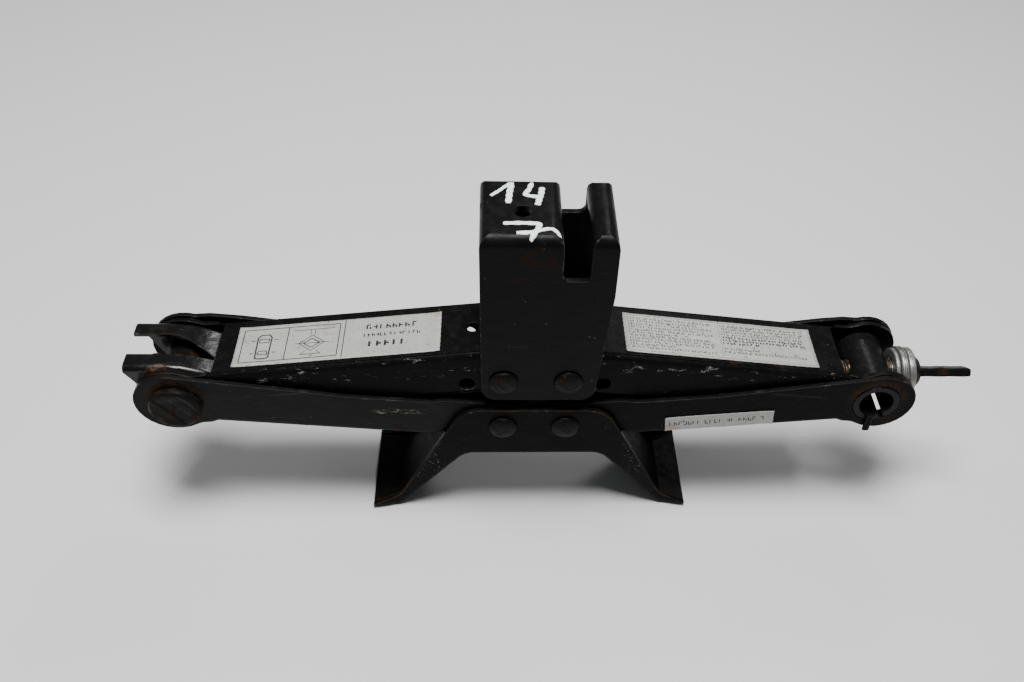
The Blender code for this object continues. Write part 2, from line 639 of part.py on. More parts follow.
def head_bracket(material):
    """Inverted-U saddle with a slot across its top and rolled top edges."""
    skirt = HEAD_PIVOT_Z - HEAD_SKIRT
    slot_right = SLOT_LEFT + SLOT_WIDTH
    rear_floor = HEAD_TOP - SLOT_DEPTH_REAR
    corners = [(-HEAD_FOOT_LEFT, skirt, HEAD_SKIRT_CORNER),
               (HEAD_FOOT_RIGHT, skirt, HEAD_SKIRT_CORNER),
               (HEAD_RIGHT, HEAD_FLARE_HEIGHT, 24.0), (HEAD_RIGHT, HEAD_TOP, 0.0),
               (slot_right, HEAD_TOP, 0.0), (slot_right, rear_floor, SLOT_CORNER),
               (SLOT_LEFT, rear_floor, 0.0), (SLOT_LEFT, HEAD_TOP, 0.0),
               (-HEAD_LEFT, HEAD_TOP, 0.0)]
    item = prism(rounded(corners), -HEAD_HALF_WIDTH, HEAD_HALF_WIDTH, "head_bracket")
    round_edges(item, HEAD_EDGE_RADIUS, BEND_STEPS,
                lambda a, b: a.z > HEAD_TOP - 1e-3 and b.z > HEAD_TOP - 1e-3)
    inside = HEAD_HALF_WIDTH - HEAD_SHEET
    lip = HEAD_TOP - HEAD_LIP_DEPTH
    ceiling = HEAD_TOP - HEAD_SHEET
    wide = HEAD_RIGHT + HEAD_LEFT
    hollow = [(-wide, 0.0), (wide, 0.0), (wide, lip),
              (HEAD_RIGHT - HEAD_SHEET, lip), (HEAD_RIGHT - HEAD_SHEET, ceiling),
              (slot_right + HEAD_SHEET, ceiling), (slot_right + HEAD_SHEET, lip),
              (SLOT_LEFT - HEAD_SHEET, lip), (SLOT_LEFT - HEAD_SHEET, ceiling),
              (HEAD_SHEET - HEAD_LEFT, ceiling), (HEAD_SHEET - HEAD_LEFT, lip), (-wide, lip)]
    front_floor = HEAD_TOP - SLOT_DEPTH_FRONT
    above = HEAD_TOP + HEAD_SHEET
    notch = rounded([(SLOT_LEFT, front_floor, SLOT_FRONT_CORNER),
                     (slot_right, front_floor, SLOT_FRONT_CORNER),
                     (slot_right, above, 0.0), (SLOT_LEFT, above, 0.0)])
    drill = rod(TOP_HOLE_RADIUS, -20.0, 20.0, ALONG_Z, (TOP_HOLE_X, TOP_HOLE_Y, HEAD_TOP))
    cutters = [prism(hollow, -inside, inside), prism(notch, -2.0 * HEAD_HALF_WIDTH, 0.0), drill]
    combine(item, cutters, "DIFFERENCE")
    hole = RIVET_RADIUS + HOLE_CLEARANCE
    cross_holes(item, [(s * PIVOT_HALF_SPACING, HEAD_PIVOT_Z, hole) for s in (-1.0, 1.0)])
    return finish(item, material, (-PIVOT_HALF_SPACING, 0.0, HEAD_PIVOT_Z))


def bracket_top_line():
    """Top of the nut bracket from the horn's tip to its right end, pin axis at (0, 0)."""
    drop = HORN_HEIGHT - BRACKET_RIGHT_HEIGHT
    run = BRACKET_RIGHT_REACH - HORN_FLAT_END
    radius = (run ** 2 + drop ** 2) / (2.0 * drop)
    sweep = math.asin(run / radius)
    centre = (HORN_FLAT_END, HORN_HEIGHT - radius)
    curve = arc(centre, radius, math.pi / 2.0, math.pi / 2.0 - sweep, 6)
    return [(-HORN_REACH, HORN_HEIGHT)] + curve


def nut_bracket(material):
    """Horned channel, open below, that sits between the left arms' ears."""
    top = bracket_top_line()
    under = [(BRACKET_RIGHT_REACH - BRACKET_SIDE_INSET, -BRACKET_SIDE_DROP, BRACKET_CORNER / 2.0),
             (BRACKET_RIGHT_REACH - BRACKET_FOOT_INSET, -BRACKET_DEPTH, BRACKET_CORNER),
             (-BRACKET_FOOT_LEFT, -BRACKET_DEPTH, BRACKET_CORNER),
             (-HORN_SHOULDER, HORN_HEIGHT / 2.0, BRACKET_CORNER),
             (-HORN_REACH, HORN_HEIGHT - HORN_TIP, 0.0)]
    under = rounded([(BRACKET_RIGHT_REACH, BRACKET_RIGHT_HEIGHT, 0.0)] + under, 3)[1:]
    at_pin = [(x - END_PIVOT_X, z + END_PIVOT_Z) for x, z in top + under]
    item = prism(at_pin, -BRACKET_HALF_WIDTH, BRACKET_HALF_WIDTH, "nut_bracket")
    top_set = {(round(x - END_PIVOT_X, 3), round(z + END_PIVOT_Z, 3)) for x, z in top}

    def on_top_edge(a, b):
        both = all((round(p.x, 3), round(p.z, 3)) in top_set for p in (a, b))
        return both and abs(a.y - b.y) < 1e-3

    round_edges(item, BRACKET_BEND, BEND_STEPS, on_top_edge)
    inside = BRACKET_HALF_WIDTH - BRACKET_SHEET
    lining = parallel(top, -BRACKET_SHEET)
    lining[0] = (lining[0][0] - HORN_REACH / 2.0, lining[0][1])
    lining.append((lining[-1][0] + HORN_REACH / 2.0, lining[-1][1] - BRACKET_SHEET))
    beyond = 3.0 * HORN_REACH
    hollow = lining + [(beyond, lining[-1][1]), (beyond, -beyond), (-beyond, -beyond),
                       (-beyond, lining[0][1])]
    hollow = [(x - END_PIVOT_X, z + END_PIVOT_Z) for x, z in hollow]
    cutters = [prism(hollow, -inside, inside), bracket_slot()]
    combine(item, cutters, "DIFFERENCE")
    cross_holes(item, [(-END_PIVOT_X, END_PIVOT_Z, NUT_PIN_RADIUS + HOLE_CLEARANCE)])
    return finish(item, material, (-END_PIVOT_X, 0.0, END_PIVOT_Z))


def bracket_slot():
    """Slot open at the horns; its rear edge curves forward to meet the front edge."""
    shape = bmesh.new()
    start = -0.4 * BRACKET_SLOT_END
    travel = BRACKET_SLOT_REAR + BRACKET_SLOT_NOSE
    rear = [(start + (BRACKET_SLOT_END - start) * t,
             BRACKET_SLOT_REAR - travel * t ** BRACKET_SLOT_CURVE)
            for t in (0.0, 0.25, 0.5, 0.75, 1.0)]
    front = [(BRACKET_SLOT_END, (-BRACKET_SLOT_NOSE - BRACKET_SLOT_FRONT) / 2.0),
             (0.0, -BRACKET_SLOT_FRONT)]
    plan = [(-2.0 * HORN_REACH, BRACKET_SLOT_REAR)] + rear + front
    plan.append((-2.0 * HORN_REACH, -BRACKET_SLOT_FRONT))
    plan = [(x - END_PIVOT_X, y) for x, y in reversed(plan)]
    face = shape.faces.new([shape.verts.new((x, y, END_PIVOT_Z)) for x, y in plan])
    drawn = bmesh.ops.extrude_face_region(shape, geom=[face])
    moved = [part for part in drawn["geom"] if isinstance(part, bmesh.types.BMVert)]
    bmesh.ops.translate(shape, verts=moved, vec=(0.0, 0.0, 2.0 * HORN_HEIGHT))
    return mesh_object("cutter", shape)


# ---------------------------------------------------------------- pins

def domed_head(radius, height, start, direction):
    """Profile of a flattened rivet head that starts at start and grows along direction."""
    rim = [(start + direction * height * along, radius * share)
           for along, share in RIVET_HEAD_STEPS]
    return [(start, 0.0)] + rim + [(rim[-1][0], 0.0)]


def centre_rivet(base_name, side, height, wall_face, material):
    """A rivet's front head and shank, and its rear head as a piece of its own."""
    x = side * PIVOT_HALF_SPACING
    word = "left" if side < 0 else "right"
    seat = wall_face + SEAT_GAP
    head = domed_head(RIVET_HEAD_RADIUS, RIVET_HEAD_HEIGHT, -seat, -1.0)
    shank = [(-seat, RIVET_RADIUS), (wall_face, RIVET_RADIUS), (wall_face, 0.0)]
    profile = list(reversed(head[1:])) + shank
    front = turned(profile, ALONG_Y, (x, 0.0, height), f"{base_name}_{word}", HOLE_SIDES)
    rear_profile = domed_head(RIVET_HEAD_RADIUS, RIVET_HEAD_HEIGHT, seat, 1.0)
    rear = turned(rear_profile, ALONG_Y, (x, 0.0, height), f"{base_name}_{word}_rear", HOLE_SIDES)
    for item in (front, rear):
        finish(item, material, (x, 0.0, height))


def pin_head_profile(radius, height, start, direction):
    """A broad peened head with a raised rim and a shallow dish."""
    rim = [(start + direction * height * along, radius * share)
           for along, share in PIN_HEAD_STEPS]
    return [(start, 0.0)] + rim + [(rim[-1][0], 0.0)]


def nut_pin(material):
    """The left end pin: a bar across both arms with a cross bore for the screw."""
    seat = LOWER_HALF_WIDTH + SEAT_GAP
    place = (-END_PIVOT_X, 0.0, END_PIVOT_Z)
    head = pin_head_profile(NUT_PIN_HEAD_RADIUS, NUT_PIN_HEAD_HEIGHT, -seat, -1.0)
    shank = [(-seat, NUT_PIN_RADIUS), (LOWER_HALF_WIDTH, NUT_PIN_RADIUS), (LOWER_HALF_WIDTH, 0.0)]
    item = turned(list(reversed(head[1:])) + shank, ALONG_Y, place, "nut_pin")
    reach = 4.0 * NUT_PIN_RADIUS
    bore = rod(SCREW_BORE, -reach, reach, ALONG_X, place)
    finish(combine(item, [bore], "DIFFERENCE"), material, place)
    rear_profile = pin_head_profile(NUT_PIN_HEAD_RADIUS, NUT_PIN_HEAD_HEIGHT, seat, 1.0)
    rear = turned(rear_profile, ALONG_Y, place, "nut_pin_rear_head")
    finish(rear, material, place)


def bearing_trunnion(material):
    """Rolled tube with an open seam, cross-bored for the screw."""
    place = (END_PIVOT_X, 0.0, END_PIVOT_Z)
    start = TRUNNION_SEAM_AT + TRUNNION_SEAM / 2.0
    end = TRUNNION_SEAM_AT - TRUNNION_SEAM / 2.0 + 2.0 * math.pi
    centre = (END_PIVOT_X, END_PIVOT_Z)
    outer = arc(centre, TRUNNION_RADIUS, start, end, ROUND_SIDES)
    inner = arc(centre, TRUNNION_RADIUS - TRUNNION_WALL, end, start, ROUND_SIDES)
    reach = LOWER_HALF_WIDTH + SEAT_GAP
    item = prism(outer + inner, -reach, reach, "bearing_trunnion")
    bore = rod(SCREW_BORE, -40.0, 40.0, ALONG_X, place)
    return finish(combine(item, [bore], "DIFFERENCE"), material, place)


def trunnion_tab(material):
    """The small tab that hangs in front of the trunnion's open seam."""
    top = END_PIVOT_Z - TRUNNION_RADIUS + TRUNNION_WALL + 1.0
    middle = END_PIVOT_X - 1.5
    front = -(LOWER_HALF_WIDTH + 2.0 * SEAT_GAP + TAB_THICKNESS)
    corners = [(middle - TAB_WIDTH / 2.0, top), (middle - TAB_WIDTH / 2.0, top - TAB_LENGTH),
               (middle + TAB_WIDTH / 2.0, top - TAB_LENGTH), (middle + TAB_WIDTH / 2.0, top)]
    item = prism(corners, front, front + TAB_THICKNESS, "trunnion_tab")
    return finish(item, material, (END_PIVOT_X, 0.0, END_PIVOT_Z))


# ---------------------------------------------------------------- screw

def screw(material):
    """Screw shaft with a flat drive tongue at its right end."""
    place = (0.0, 0.0, END_PIVOT_Z)
    item = rod(SCREW_RADIUS, SCREW_START + END_STOP_LENGTH + SEAT_GAP, COLLAR_END - SEAT_GAP,
               ALONG_X, place, "screw", ROUND_SIDES)
    half_width = TONGUE_WIDTH / 2.0
    half_thick = TONGUE_THICKNESS / 2.0
    start = COLLAR_START
    flat = prism([(start, -half_thick), (TONGUE_END, -half_thick),
                  (TONGUE_END, half_thick), (start, half_thick)], -half_width, half_width)
    tilt = Matrix.Translation(place) @ Matrix.Rotation(TONGUE_TILT, 4, "X")
    flat.data.transform(tilt)
    combine(item, [flat], "UNION")
    return finish(item, material, (END_PIVOT_X, 0.0, END_PIVOT_Z))


def thrust_stack(steel, dark):
    """Washers, bearing ring and cone collar on the screw outside the trunnion."""
    bore = SCREW_BORE
    place = (0.0, 0.0, END_PIVOT_Z)
    rings = [("thrust_washer_inner", WASHER_INNER_RADIUS, STACK_START, WASHER_INNER_LENGTH, 0.5),
             ("thrust_bearing", BEARING_RADIUS, BEARING_START, BEARING_LENGTH, 1.3),
             ("thrust_washer_outer", WASHER_OUTER_RADIUS, WASHER_OUTER_START,
              WASHER_OUTER_LENGTH, 1.0)]
    for name, radius, start, length, chamfer in rings:
        item = ring(bore, radius, start, start + length, place, name, chamfer)
        finish(item, steel, (END_PIVOT_X, 0.0, END_PIVOT_Z))
    cone = turned([(COLLAR_START, bore), (COLLAR_START, COLLAR_RADIUS),
                   (COLLAR_START + COLLAR_RIM, COLLAR_RADIUS), (COLLAR_END, COLLAR_TIP_RADIUS),
                   (COLLAR_END, bore)], ALONG_X, place, "screw_collar")
    finish(cone, dark, (END_PIVOT_X, 0.0, END_PIVOT_Z))


def end_stop(material):
    """Round nut pinned on the screw's inner end."""
    item = rod(END_STOP_RADIUS, SCREW_START, SCREW_START + END_STOP_LENGTH, ALONG_X,
               (0.0, 0.0, END_PIVOT_Z), "screw_end_stop")
    return finish(item, material, (END_PIVOT_X, 0.0, END_PIVOT_Z))


# ---------------------------------------------------------------- plates

def top_plate(name, side, material):
    """A thin plate on an upper arm's web."""
    first = LEFT_PLATE_START if side < 0 else RIGHT_PLATE_START
    last = first + (LEFT_PLATE_LENGTH if side < 0 else RIGHT_PLATE_LENGTH)
    run = ARM_LENGTH - WEB_SETBACK_INNER - WEB_SETBACK_OUTER

    def web_height(along):
        share = (along - WEB_SETBACK_OUTER) / run
        return UPPER_WEB_OUTER + (UPPER_WEB_INNER - UPPER_WEB_OUTER) * share

    low = [(u, web_height(u) + PLATE_GAP) for u in (first, last)]
    high = [(u, v + PLATE_THICKNESS) for u, v in reversed(low)]
    half = TOP_PLATE_WIDTH / 2.0
    item = prism(place_arm(low + high, side, True), TOP_PLATE_SHIFT - half,
                 TOP_PLATE_SHIFT + half, name)
    return finish(item, material, (side * END_PIVOT_X, 0.0, END_PIVOT_Z))


def side_plate(name, material):
    """A thin plate on the right lower arm's front wall."""
    middle = SIDE_PLATE_DROP
    u_low = ARM_LENGTH - SIDE_PLATE_START - SIDE_PLATE_LENGTH
    corners = [(u_low, middle - SIDE_PLATE_WIDTH / 2.0),
               (u_low + SIDE_PLATE_LENGTH, middle - SIDE_PLATE_WIDTH / 2.0),
               (u_low + SIDE_PLATE_LENGTH, middle + SIDE_PLATE_WIDTH / 2.0),
               (u_low, middle + SIDE_PLATE_WIDTH / 2.0)]
    face = -(LOWER_HALF_WIDTH + PLATE_GAP)
    item = prism(place_arm(corners, 1.0, False), face - PLATE_THICKNESS, face, name)
    return finish(item, material, (PIVOT_HALF_SPACING, 0.0, BASE_PIVOT_HEIGHT))


# ---------------------------------------------------------------- the jack

def clear_scene():
    for item in list(bpy.data.objects):
        bpy.data.objects.remove(item)


def build():
    clear_scene()
    paint = make_material("black_paint", (0.012, 0.012, 0.013), 0.38, 0.0)
    rusty = make_material("rusty_steel", (0.09, 0.05, 0.03), 0.62, 0.6)
    steel = make_material("worn_steel", (0.55, 0.54, 0.52), 0.35, 1.0)
    thread = make_material("greased_thread", (0.10, 0.08, 0.06), 0.4, 0.9)
    plate = make_material("silver_label", (0.62, 0.63, 0.64), 0.42, 0.2)
    base_bracket(paint)
    head_bracket(paint)
    for side in (-1.0, 1.0):
        lower_arm(side, paint)
        upper_arm(side, paint)
        centre_rivet("base_rivet", side, BASE_PIVOT_HEIGHT, BASE_HALF_WIDTH, rusty)
        centre_rivet("head_rivet", side, HEAD_PIVOT_Z, HEAD_HALF_WIDTH, rusty)
    nut_bracket(paint)
    nut_pin(rusty)
    bearing_trunnion(paint)
    trunnion_tab(paint)
    screw(thread)
    thrust_stack(steel, rusty)
    end_stop(rusty)
    top_plate("rating_plate", -1.0, plate)
    top_plate("notes_plate", 1.0, plate)
    side_plate("model_plate", plate)


build()
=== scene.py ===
"""Looks of the pantograph screw jack: worn black paint, rust, bare steel and printed plates.

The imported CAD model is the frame.  Pressed parts keep their CAD shape with
softened edges; the screw, rings, rivets, plates and paint strokes are finer
surfaces made here.  Sizes are in millimetres in the helpers and are turned into
metres when a mesh is made.
"""
import math

import bmesh
import bpy
import numpy as np
from mathutils import Matrix, Vector


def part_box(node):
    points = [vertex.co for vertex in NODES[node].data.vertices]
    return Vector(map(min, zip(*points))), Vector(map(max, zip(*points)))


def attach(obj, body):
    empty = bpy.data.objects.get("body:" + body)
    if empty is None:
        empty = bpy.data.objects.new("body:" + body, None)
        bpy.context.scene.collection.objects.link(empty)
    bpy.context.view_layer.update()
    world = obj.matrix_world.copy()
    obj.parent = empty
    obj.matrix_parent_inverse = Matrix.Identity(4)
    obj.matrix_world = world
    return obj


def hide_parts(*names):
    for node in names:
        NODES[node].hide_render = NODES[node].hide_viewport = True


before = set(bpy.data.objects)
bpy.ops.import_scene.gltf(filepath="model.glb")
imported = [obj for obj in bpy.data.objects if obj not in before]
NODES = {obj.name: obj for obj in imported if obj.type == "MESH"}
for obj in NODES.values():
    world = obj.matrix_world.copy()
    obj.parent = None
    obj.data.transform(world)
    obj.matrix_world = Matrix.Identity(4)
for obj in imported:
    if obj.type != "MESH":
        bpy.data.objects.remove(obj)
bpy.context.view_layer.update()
MM = 0.001



def corners_of(name):
    """Lowest and highest corner of a CAD node, in millimetres."""
    low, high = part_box(name)
    return [c / MM for c in low], [c / MM for c in high]


def middle_of(name):
    """Middle of a CAD node, in millimetres."""
    low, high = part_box(name)
    return [(low[i] + high[i]) / 2.0 / MM for i in range(3)]


# middles of CAD nodes, and the CAD sizes that go with them
NUT_PIN = middle_of("nut_pin")
TRUNNION = middle_of("bearing_trunnion")
PIVOT_HALF_SPACING = 15.75
HEAD_MIDDLE = middle_of("head_rivet_left")[0] + PIVOT_HALF_SPACING
SLOT_LEFT = 9.7
HEAD_ROLL = 6.0
ARM_SLOPE = 0.0998

# X and Z of the rubbed patch on the left arm, given here rather than taken from a CAD node
PATCH = (-83.0, 74.9)


# ---------------------------------------------------------------- materials

class Shader:
    """A Principled material with short calls for the nodes it needs."""

    def __init__(self, name):
        self.material = bpy.data.materials.new(name)
        self.material.use_nodes = True
        self.tree = self.material.node_tree
        self.surface = self.tree.nodes["Principled BSDF"]
        self.place = self.new("ShaderNodeTexCoord").outputs["Object"]

    def new(self, kind, **values):
        node = self.tree.nodes.new(kind)
        for key, value in values.items():
            setattr(node, key, value)
        return node

    def feed(self, socket, value):
        if isinstance(value, (int, float, tuple)):
            socket.default_value = value
        elif value is not None:
            self.tree.links.new(value, socket)

    def set(self, **values):
        for key, value in values.items():
            self.feed(self.surface.inputs[key.replace("_", " ")], value)

    def stretched(self, scale, shift=(0.0, 0.0, 0.0)):
        """Object coordinates in millimetres times scale, moved by shift."""
        node = self.new("ShaderNodeMapping")
        self.feed(node.inputs["Vector"], self.place)
        node.inputs["Scale"].default_value = [s / MM for s in scale]
        node.inputs["Location"].default_value = shift
        return node.outputs["Vector"]

    def noise(self, scale, detail=3.0, rough=0.55, vector=None, distortion=0.0):
        """Noise with features about 1 / scale millimetres apart."""
        node = self.new("ShaderNodeTexNoise")
        self.feed(node.inputs["Vector"], vector or self.place)
        node.inputs["Scale"].default_value = scale / MM if vector is None else scale
        node.inputs["Detail"].default_value = detail
        node.inputs["Roughness"].default_value = rough
        node.inputs["Distortion"].default_value = distortion
        return node.outputs["Fac"]

    def cells(self, scale):
        """Distance to the nearest of scattered points about 1 / scale millimetres apart."""
        node = self.new("ShaderNodeTexVoronoi")
        self.feed(node.inputs["Vector"], self.place)
        node.inputs["Scale"].default_value = scale / MM
        return node.outputs["Distance"]

    def band(self, value, low, high, to_low=0.0, to_high=1.0):
        """Value from low..high mapped smoothly onto to_low..to_high and held there."""
        node = self.new("ShaderNodeMapRange", interpolation_type="SMOOTHSTEP")
        self.feed(node.inputs["Value"], value)
        node.inputs["From Min"].default_value = low
        node.inputs["From Max"].default_value = high
        node.inputs["To Min"].default_value = to_low
        node.inputs["To Max"].default_value = to_high
        return node.outputs["Result"]

    def reckon(self, kind, first, second=0.0):
        node = self.new("ShaderNodeMath", operation=kind)
        self.feed(node.inputs[0], first)
        self.feed(node.inputs[1], second)
        return node.outputs[0]

    def times(self, *factors):
        product = factors[0]
        for factor in factors[1:]:
            product = self.reckon("MULTIPLY", product, factor)
        return product

    def plus(self, first, second):
        return self.reckon("ADD", first, second)

    def minus(self, first, second):
        return self.reckon("SUBTRACT", first, second)

    def most(self, first, second):
        return self.reckon("MAXIMUM", first, second)

    def gap(self, first, second):
        """Distance between two numbers."""
        return self.reckon("ABSOLUTE", self.minus(first, second))

    def distance(self, x, z, centre):
        """Distance in the X-Z plane from a centre, in millimetres."""
        across = self.reckon("POWER", self.minus(x, centre[0]), 2.0)
        upward = self.reckon("POWER", self.minus(z, centre[2]), 2.0)
        return self.reckon("SQRT", self.plus(across, upward))

    def blend(self, share, first, second):
        """Colour between first and second."""
        node = self.new("ShaderNodeMix", data_type="RGBA")
        self.feed(node.inputs["Factor"], share)
        colour = [socket for socket in node.inputs if socket.type == "RGBA"]
        for socket, value in zip(colour, (first, second)):
            self.feed(socket, value if not isinstance(value, tuple) else (*value, 1.0))
        return [socket for socket in node.outputs if socket.type == "RGBA"][0]

    def level(self, share, first, second):
        """Number between first and second."""
        node = self.new("ShaderNodeMix", data_type="FLOAT")
        self.feed(node.inputs["Factor"], share)
        numbers = [s for s in node.inputs if s.type == "VALUE" and s.name in "AB"]
        for socket, value in zip(numbers, (first, second)):
            self.feed(socket, value)
        return [s for s in node.outputs if s.type == "VALUE"][0]

    def split(self):
        """X, Y and Z of the object coordinates, in millimetres."""
        node = self.new("ShaderNodeSeparateXYZ")
        self.feed(node.inputs[0], self.stretched((1.0, 1.0, 1.0)))
        return [node.outputs[axis] for axis in "XYZ"]

    def facing(self, axis="Z"):
        """How far the surface faces along an axis, from -1 to 1."""
        node = self.new("ShaderNodeSeparateXYZ")
        self.feed(node.inputs[0], self.new("ShaderNodeNewGeometry").outputs["Normal"])
        return node.outputs[axis]

    def bump(self, height, distance, normal=None):
        node = self.new("ShaderNodeBump")
        node.inputs["Distance"].default_value = distance * MM
        self.feed(node.inputs["Height"], height)
        self.feed(node.inputs["Normal"], normal)
        return node.outputs["Normal"]


def black_paint(name, rust=0.5, wear=0.5, gloss=0.34, tone=1.0, extra=None, shine=0.035):
    """Thin black paint on pressed steel: ripple, dust, chips, streaks and rust."""
    m = Shader(name)
    up = m.band(m.facing(), 0.2, 0.95)
    clouds = m.noise(0.035, 4.0)
    grime = m.noise(0.22, 5.0, 0.62)
    colour = m.blend(clouds, (0.0024 * tone, 0.0024 * tone, 0.0025 * tone),
                     (0.0046 * tone, 0.0046 * tone, 0.0047 * tone))
    dust = m.times(up, m.band(grime, 0.40, 0.72, 0.04, 0.30))
    colour = m.blend(dust, colour, (0.015, 0.0147, 0.0138))
    rust_spread = m.plus(m.noise(0.055, 6.0, 0.68), m.times(grime, 0.25))
    rust_mask = m.band(rust_spread, 0.80 - 0.14 * rust, 0.92 - 0.12 * rust)
    rust_tone = m.blend(m.noise(0.6, 4.0), (0.012, 0.007, 0.005), (0.034, 0.017, 0.010))
    colour = m.blend(m.times(rust_mask, 0.7), colour, rust_tone)
    streaks = m.noise(1.0, 2.0, 0.5, m.stretched((0.035, 1.9, 1.9)), 0.2)
    streak_area = m.band(m.noise(0.03, 2.0), 0.5, 0.62)
    streak_mask = m.times(m.band(streaks, 0.73 - 0.05 * wear, 0.80), streak_area)
    chips = m.band(m.cells(0.30), 0.14, 0.07)
    chip_mask = m.times(chips, m.band(m.noise(0.12, 3.0), 0.60 - 0.06 * wear, 0.68))
    marks = m.most(streak_mask, chip_mask)
    colour = m.blend(m.times(marks, 0.45), colour, (0.16, 0.155, 0.145))
    rough = m.level(grime, gloss - 0.07, gloss + 0.12)
    rough = m.level(dust, rough, 0.6)
    rough = m.level(rust_mask, rough, 0.8)
    if extra:
        colour, rough, marks = extra(m, colour, rough, marks)
    m.set(Base_Color=colour, Roughness=rough, Specular_IOR_Level=shine)
    ripple = m.plus(m.noise(0.09, 2.0), m.times(m.noise(0.9, 3.0), 0.08))
    skin = m.bump(ripple, 0.5)
    grain = m.plus(m.times(rust_mask, m.noise(2.2, 4.0)),
                  m.times(marks, -0.6))
    m.set(Normal=m.bump(grain, 0.12, skin))
    return m.material


def bend_scuffs(m, colour, rough, marks):
    """Silver-white scuffs where the upper arms' front bends have been knocked."""
    x, y, z = m.split()
    front = m.band(m.facing("Y"), -0.15, -0.5)
    near_wall = m.band(y, -13.5, -15.5)
    lumps = m.noise(1.0, 6.0, 0.72, m.stretched((0.11, 0.33, 0.33)))
    bend_height = m.minus(z, m.times(m.gap(x, 0.0), -0.10))
    below_web = m.band(bend_height, 99.0, 108.0)
    speck = m.band(m.noise(1.1, 3.0, 0.7), 0.44, 0.56)
    scuff = m.times(m.band(lumps, 0.592, 0.655), front, near_wall, below_web, speck)
    colour = m.blend(m.times(scuff, 0.85), colour, (0.30, 0.30, 0.29))
    return colour, m.level(scuff, rough, 0.5), m.most(marks, scuff)


def horn_rust(m, colour, rough, marks):
    """Orange rust rubbed on in an arc above the left pivot, towards the horn's tip."""
    x, y, z = m.split()
    ragged = m.plus(m.distance(x, z, NUT_PIN), m.times(m.noise(0.25, 4.0), 4.0))
    ring = m.band(ragged, 23.0, 20.6)
    ragged_x = m.plus(x, m.times(m.noise(0.3, 3.0), 6.0))
    outer_side = m.band(ragged_x, NUT_PIN[0] + 1.0, NUT_PIN[0] - 3.0)
    front = m.band(y, -12.5, -14.5)
    patches = m.band(m.noise(0.5, 5.0), 0.36, 0.56, 0.1, 0.9)
    mask = m.times(ring, outer_side, front, patches)
    orange = m.blend(m.noise(0.9, 4.0), (0.030, 0.015, 0.008), (0.12, 0.058, 0.024))
    return m.blend(mask, colour, orange), m.level(mask, rough, 0.75), marks


def ear_rust(m, colour, rough, centre):
    """Dark rust ground in around the pin in a lower arm's front ear."""
    x, y, z = m.split()
    ragged = m.plus(m.distance(x, z, centre), m.times(m.noise(0.2, 5.0, 0.65), 5.0))
    ring = m.band(ragged, 20.5, 16.5)
    above = m.band(z, centre[2] + 1.0, centre[2] + 7.0, 0.25, 1.0)
    patches = m.band(m.noise(0.45, 5.0, 0.7), 0.38, 0.60, 0.15, 0.95)
    mask = m.times(ring, above, m.band(y, -20.5, -21.5), patches)
    brown = m.blend(m.noise(1.0, 4.0), (0.010, 0.006, 0.004), (0.060, 0.034, 0.018))
    return m.blend(mask, colour, brown), m.level(mask, rough, 0.7)


def wall_crease_highlight(m, colour, centre, side):
    """A soft painted highlight: a light line along a crease that runs along a lower arm's front wall."""
    x, y, z = m.split()
    level = m.plus(m.minus(z, centre[2]), m.times(m.minus(x, centre[0]), ARM_SLOPE * side))
    line = m.band(m.gap(level, 1.6), 0.9, 0.1)
    past_ear = m.band(m.gap(x, centre[0]), 18.0, 30.0)
    broken = m.band(m.noise(0.07, 3.0), 0.42, 0.6)
    crease_highlight = m.times(line, m.band(y, -20.5, -21.5), past_ear, broken)
    # painted highlight: this light grey stands in for light caught along the crease
    return m.blend(m.times(crease_highlight, 0.6), colour, (0.028, 0.028, 0.028))


def left_arm_marks(m, colour, rough, marks):
    """Ear rust, the painted highlight along the crease, and a rubbed patch near the left arm's inner end.
    """
    colour, rough = ear_rust(m, colour, rough, NUT_PIN)
    colour = wall_crease_highlight(m, colour, NUT_PIN, -1.0)
    x, y, z = m.split()
    spot = m.times(m.band(m.gap(x, PATCH[0]), 15.0, 8.0), m.band(m.gap(z, PATCH[1]), 2.4, 0.8))
    flakes = m.band(m.noise(1.0, 6.0, 0.75, m.stretched((0.2, 0.7, 0.7))), 0.52, 0.60)
    patch = m.times(spot, flakes, m.band(y, -20.5, -21.5))
    colour = m.blend(m.times(patch, 0.9), colour, (0.26, 0.235, 0.20))
    return colour, rough, m.most(marks, patch)


def right_arm_marks(m, colour, rough, marks):
    """Ear rust and the painted highlight along the crease on the right arm."""
    colour, rough = ear_rust(m, colour, rough, TRUNNION)
    return wall_crease_highlight(m, colour, TRUNNION, 1.0), rough, marks


def base_specks(m, colour, rough, marks):
    """Pale chips on the outer slopes of the base's flanges."""
    x, y, z = m.split()
    outer = m.band(m.gap(x, HEAD_MIDDLE), 44.0, 50.0)
    height = m.times(m.band(z, 22.0, 30.0), m.band(z, 58.0, 50.0))
    speck = m.times(m.band(m.noise(0.9, 4.0, 0.7), 0.60, 0.66), outer, height)
    colour = m.blend(m.times(speck, 0.8), colour, (0.22, 0.20, 0.17))
    return colour, m.level(speck, rough, 0.6), m.most(marks, speck)


def worn_edge(name, brown_share=0.7, brown_from=0.56):
    """Paint rubbed thin along a sheet's edges, with bare steel and rust showing through."""
    m = Shader(name)
    rub = m.noise(0.12, 5.0, 0.7)
    bright = m.band(rub, 0.55, 0.70)
    fine = m.noise(1.4, 3.0)
    tone = m.blend(fine, (0.025, 0.023, 0.020), (0.125, 0.12, 0.112))
    colour = m.blend(bright, (0.0055, 0.0053, 0.0050), tone)
    brown = m.band(m.noise(0.05, 4.0), brown_from, brown_from + 0.12)
    colour = m.blend(m.times(brown, brown_share), colour, (0.040, 0.024, 0.012))
    m.set(Base_Color=colour, Specular_IOR_Level=0.08)
    m.set(Metallic=m.times(bright, 0.4))
    m.set(Roughness=m.level(fine, 0.32, 0.55))
    m.set(Normal=m.bump(fine, 0.05))
    return m.material


